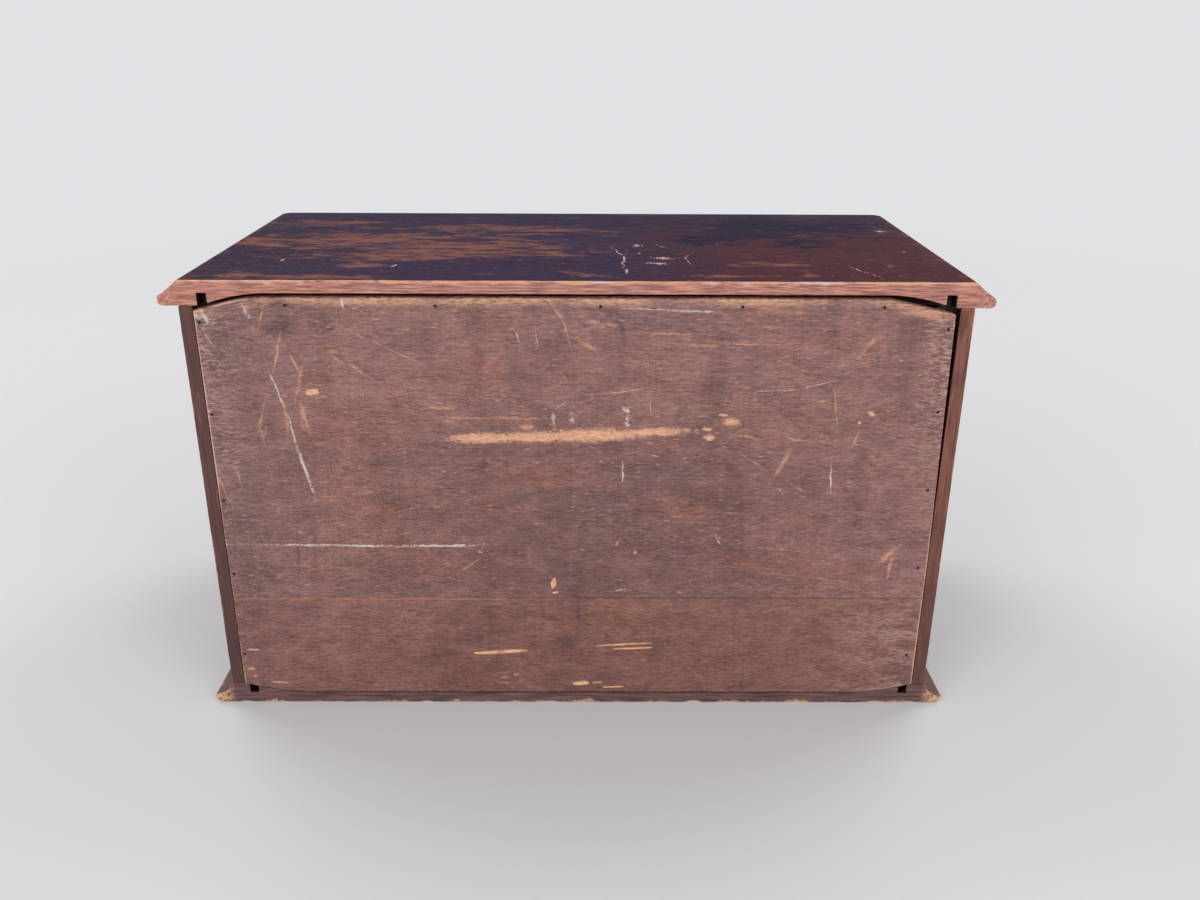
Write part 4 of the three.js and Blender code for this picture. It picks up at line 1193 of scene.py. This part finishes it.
class CABINET_OT_stage(CabinetOperator, bpy.types.Operator):
    """Lay a pale floor, hang soft lamps round the cabinet and stand the camera behind it"""

    bl_idname = "cabinet.stage"
    bl_label = "Set the Stage"

    # Where each lamp hangs, and its share of the lamp power.
    lamps = (((1.5, 2.1, 1.5), 1.0), ((-1.6, 2.0, 1.4), 0.85),
             ((1.5, -1.3, 2.2), 0.85), ((-1.5, -1.3, 2.2), 0.8))
    lamp_size, floor_radius = 1.5, 9.0
    # How far out the floor begins and ends to fade into the backdrop.
    fade_start, fade_end = 0.7, 2.6

    def execute(self, context):
        context.scene.view_settings.view_transform = "Standard"
        stage = context.scene.cabinet_stage
        self.lay_floor(stage)
        self.light_sky(context, stage)
        centre = Vector((0, 0, cad_box[1].z / 2))
        for at, share in self.lamps:
            bpy.ops.object.light_add(type="AREA", location=at)
            lamp = bpy.context.view_layer.objects.active
            lamp.rotation_euler = (centre - Vector(at)).to_track_quat("-Z", "Y").to_euler()
            lamp.data.size = self.lamp_size
            lamp.data.energy = stage.lamp_power * share
        self.stand_camera(context)
        return {"FINISHED"}

    def lay_floor(self, stage):
        """A wide disc that fades into the backdrop well away from the cabinet."""
        bpy.ops.mesh.primitive_circle_add(vertices=96, radius=self.floor_radius, fill_type="NGON")
        floor = bpy.context.view_layer.objects.active
        floor.name = "floor"
        mix = Finish("floor")
        away = mix.node("VectorMath", {"operation": "LENGTH"}, {0: mix.place}, output="Value")
        seen = self.seen_directly(mix)
        ground = mix.node("BsdfPrincipled", inputs={
            "Base Color": stage.floor, "Roughness": 0.9, "Specular IOR Level": 0.1})
        beyond = mix.node("Emission", inputs={"Color": stage.backdrop, "Strength": 1.0})
        fade = away.ease(self.fade_start, self.fade_end) * seen
        whole = mix.node("MixShader", inputs={0: fade, 1: ground, 2: beyond})
        mix.node("OutputMaterial", inputs={"Surface": whole})
        floor.data.materials.append(mix.owner)

    def light_sky(self, context, stage):
        """Even light from all sides, which a camera or a gloss sees as the plain backdrop."""
        world = bpy.data.worlds.new("studio")
        context.scene.world = world
        mix = Finish(world=world)
        seen = self.seen_directly(mix)
        sky = mix.node("Background", inputs={"Color": (1.0, 1.0, 1.0), "Strength": stage.sky_strength})
        shown = mix.node("Background", inputs={"Color": stage.backdrop, "Strength": 1.0})
        mix.node("OutputWorld", inputs={"Surface": mix.node("MixShader", inputs={0: seen, 1: sky, 2: shown})})

    @staticmethod
    def seen_directly(mix):
        """1 for rays that show a surface: the camera's, a gloss's and those through glass."""
        rays = [mix.node("LightPath", output=ray)
                for ray in ("Is Camera Ray", "Is Glossy Ray", "Is Transmission Ray")]
        return rays[0].most(rays[1]).most(rays[2])

    def stand_camera(self, context):
        """Stand the camera where the photograph was taken from."""
        right, up, forward = camera_axes()
        bpy.ops.object.camera_add(location=CAMERA_PLACE)
        camera = bpy.context.view_layer.objects.active
        turned = Matrix((right, up, -forward)).transposed().to_4x4()
        camera.matrix_world = Matrix.Translation(CAMERA_PLACE) @ turned
        camera.data.sensor_width = CAMERA_SENSOR
        camera.data.lens = CAMERA_LENS
        context.scene.camera = camera


class CABINET_OT_top(CabinetOperator, bpy.types.Operator):
    """Make the moulded top, its finish worn and its edges chipped"""

    bl_idname = "cabinet.top"
    bl_label = "Make the Top"

    def execute(self, context):
        low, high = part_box("top_board")
        top = moulded_blank("top_board", "moulded_top", "top_finish", rounding=1.0, wear=0.25, seed=1)
        nose = nose_height(top)
        chip_edges(top, (
            ((high.x - 20 * MM, high.y, high.z), (low.x + 20 * MM, high.y, high.z), 22, (1, 0.7, 0.45), True),
            ((high.x, high.y - 12 * MM, nose), (high.x, low.y + 30 * MM, nose), 9, (0.6, 1, 1), False),
            ((low.x, high.y - 12 * MM, nose), (low.x, low.y + 30 * MM, nose), 9, (0.6, 1, 1), False),
            ((low.x + 30 * MM, low.y, nose), (high.x - 30 * MM, low.y, nose), 12, (1, 0.6, 1), False),
        ))
        smooth(top)
        put_in_place(top, "cabinet", "top_wood", "top_board")
        return {"FINISHED"}


class CABINET_OT_base(CabinetOperator, bpy.types.Operator):
    """Make the moulded base, with its lower edge broken along the back and the ends"""

    bl_idname = "cabinet.base"
    bl_label = "Make the Base"

    def execute(self, context):
        low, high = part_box("base_board")
        base = moulded_blank("base_board", "moulded_base", "stained_case", rounding=0.5, wear=0.12, seed=3)
        nose = nose_height(base)
        chip_edges(base, (
            ((low.x + 6 * MM, high.y, low.z), (high.x - 6 * MM, high.y, low.z), 33, (1.2, 1.2, 0.8), False),
            ((low.x + 12 * MM, high.y, low.z), (high.x - 12 * MM, high.y, low.z), 19, (1.3, 1.4, 1.2), True),
            ((low.x, high.y - 10 * MM, nose), (low.x, low.y + 30 * MM, nose), 12, (0.7, 1, 1.2), True),
            ((high.x, high.y - 10 * MM, nose), (high.x, low.y + 30 * MM, nose), 13, (0.7, 1, 1.2), True),
            ((low.x + 30 * MM, low.y, nose), (high.x - 30 * MM, low.y, nose), 16, (1, 0.7, 1.2), True),
        ))
        smooth(base)
        put_in_place(base, "cabinet", "case_wood", "base_board")
        return {"FINISHED"}


class CABINET_OT_sides(CabinetOperator, bpy.types.Operator):
    """Make the two sides, with their back arrises rubbed and nicked"""

    bl_idname = "cabinet.sides"
    bl_label = "Make the Sides"

    def execute(self, context):
        for node, name, seed in (("side_left", "case_side_left", 5), ("side_right", "case_side_right", 6)):
            side = blank(node, name)
            give_finish(side, "stained_case")
            round_arrises(side, sizes().arris_rounding * 0.7)
            slice_across(side, ALONG_Z, sizes().strip_width)
            wear_unevenly(side, sizes().arris_rounding * 0.18, seed)
            smooth(side)
            put_in_place(side, "cabinet", "case_wood", node)
        return {"FINISHED"}


class CABINET_OT_back(CabinetOperator, bpy.types.Operator):
    """Make the two back boards, with splinters torn out and holes for the nails"""

    bl_idname = "cabinet.back"
    bl_label = "Make the Back"

    # Half the length of the chipped part of the upper edge.
    half_chipped = 200 * MM

    def execute(self, context):
        for node, name, rounding, seed, wide in (
            ("back_board_upper", "back_board_wide", 0.8, 7, True),
            ("back_board_lower", "back_board_narrow", 0.6, 8, False),
        ):
            board = blank(node, name)
            give_finish(board, "unfinished_back")
            if wide:
                self.shrink(board)
            round_arrises(board, sizes().arris_rounding * rounding,
                          spared=lambda edge: all(self.at_joint(vertex) for vertex in edge.verts))
            slice_across(board, ALONG_X, sizes().strip_width)
            wear_unevenly(board, sizes().arris_rounding * 0.2, seed, spared=self.at_joint)
            marks = [mark for mark in seen_marks(TORN_SPLINTERS, ALONG_Y, BACK_HIGH.y)
                     if (mark[0].z > BACK_JOINT) == wide]
            for strand in SPLINTER_STRANDS:
                torn = splinters(marks, strand, sizes().splinter_depth)
                cut_away(board, torn, JAG, seed, inside="raw_wood")
            if wide:
                start = Vector((self.half_chipped, BACK_HIGH.y, BACK_HIGH.z))
                end = Vector((-self.half_chipped, BACK_HIGH.y, BACK_HIGH.z))
                chips = chips_along(start, end, 12, seed, (1, 0.4, 0.5))
                cut_away(board, chips, JAG, seed, inside="raw_wood")
            cut_away(board, self.nail_holes(wide), JAG / 2, seed)
            smooth(board)
            put_in_place(board, "cabinet", "back_wood", node)
        return {"FINISHED"}

    @staticmethod
    def at_joint(vertex):
        """Whether a point lies at the joint of the two boards, where nothing is worn."""
        return abs(vertex.co.z - BACK_JOINT) < 1 * MM

    @staticmethod
    def shrink(board):
        """Draw the upper edge of the wide board down, away from the top."""
        near_top = BACK_JOINT + 0.9 * (BACK_HIGH.z - BACK_JOINT)
        with shaping(board):
            pick(board, "verts", lambda vertex: vertex.co.z > near_top)
            bpy.ops.transform.translate(value=(0, 0, -sizes().shrinkage))

    @staticmethod
    def nail_holes(wide):
        """Short rods that will sink each nail's hole in one of the two boards."""
        rods = []
        for at in nail_places():
            if (at.z > BACK_JOINT) == wide:
                bpy.ops.mesh.primitive_cylinder_add(
                    vertices=14, radius=sizes().nail_radius, depth=sizes().nail_depth * 4,
                    location=at, rotation=(math.radians(90), 0, 0))
                rods.append(bpy.context.view_layer.objects.active)
                settle(rods[-1])
        return rods


class CABINET_OT_nails(CabinetOperator, bpy.types.Operator):
    """Drive the rusted nails of the back, each a little askew in its hole"""

    bl_idname = "cabinet.nails"
    bl_label = "Drive the Nails"

    def execute(self, context):
        chance = random.Random(9)
        radius, length, dome = sizes().nail_radius * 0.94, 2 * MM, 0.22 * MM
        bpy.ops.mesh.primitive_cylinder_add(
            vertices=10, radius=radius, depth=length, rotation=(math.radians(90), 0, 0))
        first = bpy.context.view_layer.objects.active
        settle(first)
        with shaping(first):
            pick(first, "faces", lambda face: face.normal.y > 0.9)
            bpy.ops.mesh.inset(thickness=radius * 0.45)
            bpy.ops.transform.translate(value=(0, dome, 0))
        nails = []
        for place in nail_places():
            at = place - Vector((0, sizes().nail_depth + length / 2, 0))
            nails.append(copied(first, "nail", at))
            choose(nails[-1])
            bpy.ops.transform.rotate(value=chance.uniform(-0.2, 0.2), orient_axis="X", center_override=at)
            settle(nails[-1])
        bpy.data.objects.remove(first)
        heads = joined(nails, "back_nails")
        give_finish(heads, "nail_iron")
        put_in_place(heads, "cabinet", None)
        return {"FINISHED"}


class CABINET_OT_rails(CabinetOperator, bpy.types.Operator):
    """Finish the rails and the runners that carry the drawers"""

    bl_idname = "cabinet.rails"
    bl_label = "Finish the Rails and Runners"

    def execute(self, context):
        for node in frame["nodes"]:
            if node.startswith("rail_"):
                ease_node(node, "stained_rail")
            elif node.startswith("runner_"):
                ease_node(node, "bare_wood_along_y")
        return {"FINISHED"}


class CABINET_OT_drawer_fronts(CabinetOperator, bpy.types.Operator):
    """Make one polished drawer front with its sunk label field, and copy it to the other drawers"""

    bl_idname = "cabinet.drawer_fronts"
    bl_label = "Make the Drawer Fronts"

    def execute(self, context):
        first = blank("drawer_1_front", "polished_front_1")
        give_finish(first, "polished_front")
        round_arrises(first, sizes().arris_rounding * 0.5)
        slice_across(first, ALONG_X, sizes().strip_width * 1.5)
        wear_unevenly(first, sizes().arris_rounding * 0.12, seed=10)
        low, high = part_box("drawer_1_front")
        start, end = (low.x + 12 * MM, low.y + 3 * MM, low.z), (high.x - 12 * MM, low.y + 3 * MM, low.z)
        chips = chips_along(start, end, 7, 10, (0.7, 0.9, 0.5))
        cut_away(first, chips, JAG * 0.75, 10, inside="raw_wood")
        smooth(first)
        for number in DRAWERS[1:]:
            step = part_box(f"drawer_{number}_front")[0] - low
            front = copied(first, f"polished_front_{number}", step)
            put_in_place(front, f"drawer_{number}", "drawer_face", f"drawer_{number}_front")
        put_in_place(first, "drawer_1", "drawer_face", "drawer_1_front")
        return {"FINISHED"}


class CABINET_OT_drawer_boxes(CabinetOperator, bpy.types.Operator):
    """Finish the sides, backs, bottoms and partitions of the drawers in bare wood"""

    bl_idname = "cabinet.drawer_boxes"
    bl_label = "Finish the Drawer Boxes"

    def execute(self, context):
        for number in DRAWERS:
            for part in ("back", "bottom"):
                ease_node(f"drawer_{number}_{part}", "bare_wood_along_x")
            for node in frame["nodes"]:
                if node.startswith((f"drawer_{number}_side", f"drawer_{number}_partition")):
                    ease_node(node, "bare_wood_along_y")
        return {"FINISHED"}


class CABINET_OT_knobs(CabinetOperator, bpy.types.Operator):
    """Turn one brass knob with its screw, and copy it to all of the drawers"""

    bl_idname = "cabinet.knobs"
    bl_label = "Turn the Knobs"

    # The knob's outline from its seat to its face: shares of its greatest radius and length.
    # The first row is a point, and each other row bends towards its first pair to end at its second.
    outline = ((0.8, 0), (0.86, 0.05, 0.76, 0.1), (0.36, 0.13, 0.35, 0.32), (0.35, 0.46, 0.72, 0.55),
               (1.06, 0.68, 0.96, 0.84), (0.84, 1, 0, 1))
    screw_radius = 2.1 * MM
    turns, bends = 48, 6

    def execute(self, context):
        low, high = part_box("drawer_1_knob_left")
        middle = (low + high) / 2
        radius = (high.x - low.x) / 2
        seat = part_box("drawer_1_front")[0].y - 0.3 * MM
        path = [(0.0, high.y), (self.screw_radius * 0.7, high.y), (self.screw_radius, high.y - 1 * MM),
                (self.screw_radius, seat)]
        path += [(radius * out, seat - (seat - low.y) * along) for out, along in self.curve()]
        path[-1] = (0.0, low.y)
        first = self.turn(path, middle)
        give_finish(first, "dull_brass")
        for number in DRAWERS:
            for side in ("left", "right"):
                node = f"drawer_{number}_knob_{side}"
                knob = copied(first, f"brass_knob_{number}_{side}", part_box(node)[0] - low)
                put_in_place(knob, f"drawer_{number}", "brass", node)
        bpy.data.objects.remove(first)
        return {"FINISHED"}

    def curve(self):
        """The outline's points, each bend cut into short steps."""
        points = [self.outline[0]]
        for bend_out, bend_along, end_out, end_along in self.outline[1:]:
            start_out, start_along = points[-1]
            for step in range(1, self.bends + 1):
                share = step / self.bends
                keep, pull, reach = (1 - share) ** 2, 2 * share * (1 - share), share * share
                points.append((start_out * keep + bend_out * pull + end_out * reach,
                               start_along * keep + bend_along * pull + end_along * reach))
        return points

    def turn(self, path, middle):
        """Draw the outline point by point and spin it round the knob's axis."""
        out, along = path[0]
        bpy.ops.mesh.primitive_plane_add(size=1 * MM, location=(middle.x + out, along, middle.z))
        knob = bpy.context.view_layer.objects.active
        knob.name = "brass_knob"
        settle(knob)
        with shaping(knob):
            bpy.ops.mesh.merge(type="CENTER")
            for (out, along), (next_out, next_along) in zip(path, path[1:]):
                bpy.ops.mesh.extrude_region_move(
                    TRANSFORM_OT_translate={"value": (next_out - out, next_along - along, 0)})
            bpy.ops.mesh.select_all(action="SELECT")
            bpy.ops.mesh.spin(steps=self.turns, angle=math.tau, center=middle, axis=(0, 1, 0))
            bpy.ops.mesh.select_all(action="SELECT")
            bpy.ops.mesh.remove_doubles(threshold=WELD_GAP / 2)
            bpy.ops.mesh.normals_make_consistent(inside=False)
        bpy.ops.object.shade_smooth_by_angle(angle=math.radians(40))
        return knob


STEPS = (CABINET_OT_stage, CABINET_OT_top, CABINET_OT_base, CABINET_OT_sides, CABINET_OT_back,
         CABINET_OT_nails, CABINET_OT_rails, CABINET_OT_drawer_fronts, CABINET_OT_drawer_boxes,
         CABINET_OT_knobs)


class CABINET_PT_panel(bpy.types.Panel):
    """The cabinet's steps in order, with the sizes and colours that they use"""

    bl_idname = "CABINET_PT_panel"
    bl_label = "Haberdashery Cabinet"
    bl_space_type = "VIEW_3D"
    bl_region_type = "UI"
    bl_category = "Cabinet"

    def draw(self, context):
        for step in STEPS:
            self.layout.operator(step.bl_idname)
        scene = context.scene
        for group in (scene.cabinet_sizes, scene.cabinet_colours, scene.cabinet_stage):
            box = self.layout.box()
            for name in group.__annotations__:
                box.prop(group, name)


CLASSES = (CabinetSizes, CabinetColours, CabinetStage, *STEPS, CABINET_PT_panel)


def register():
    """Make the classes and the cabinet's settings known to Blender."""
    for part in CLASSES:
        bpy.utils.register_class(part)
    bpy.types.Scene.cabinet_sizes = bpy.props.PointerProperty(type=CabinetSizes)
    bpy.types.Scene.cabinet_colours = bpy.props.PointerProperty(type=CabinetColours)
    bpy.types.Scene.cabinet_stage = bpy.props.PointerProperty(type=CabinetStage)


def unregister():
    """Take the settings and the classes away again."""
    del bpy.types.Scene.cabinet_stage
    del bpy.types.Scene.cabinet_colours
    del bpy.types.Scene.cabinet_sizes
    for part in reversed(CLASSES):
        bpy.utils.unregister_class(part)


def main():
    """Make the whole cabinet and its stage."""
    register()
    bpy.ops.cabinet.stage()
    bpy.ops.cabinet.top()
    bpy.ops.cabinet.base()
    bpy.ops.cabinet.sides()
    bpy.ops.cabinet.back()
    bpy.ops.cabinet.nails()
    bpy.ops.cabinet.rails()
    bpy.ops.cabinet.drawer_fronts()
    bpy.ops.cabinet.drawer_boxes()
    bpy.ops.cabinet.knobs()


if __name__ == "__main__":
    main()
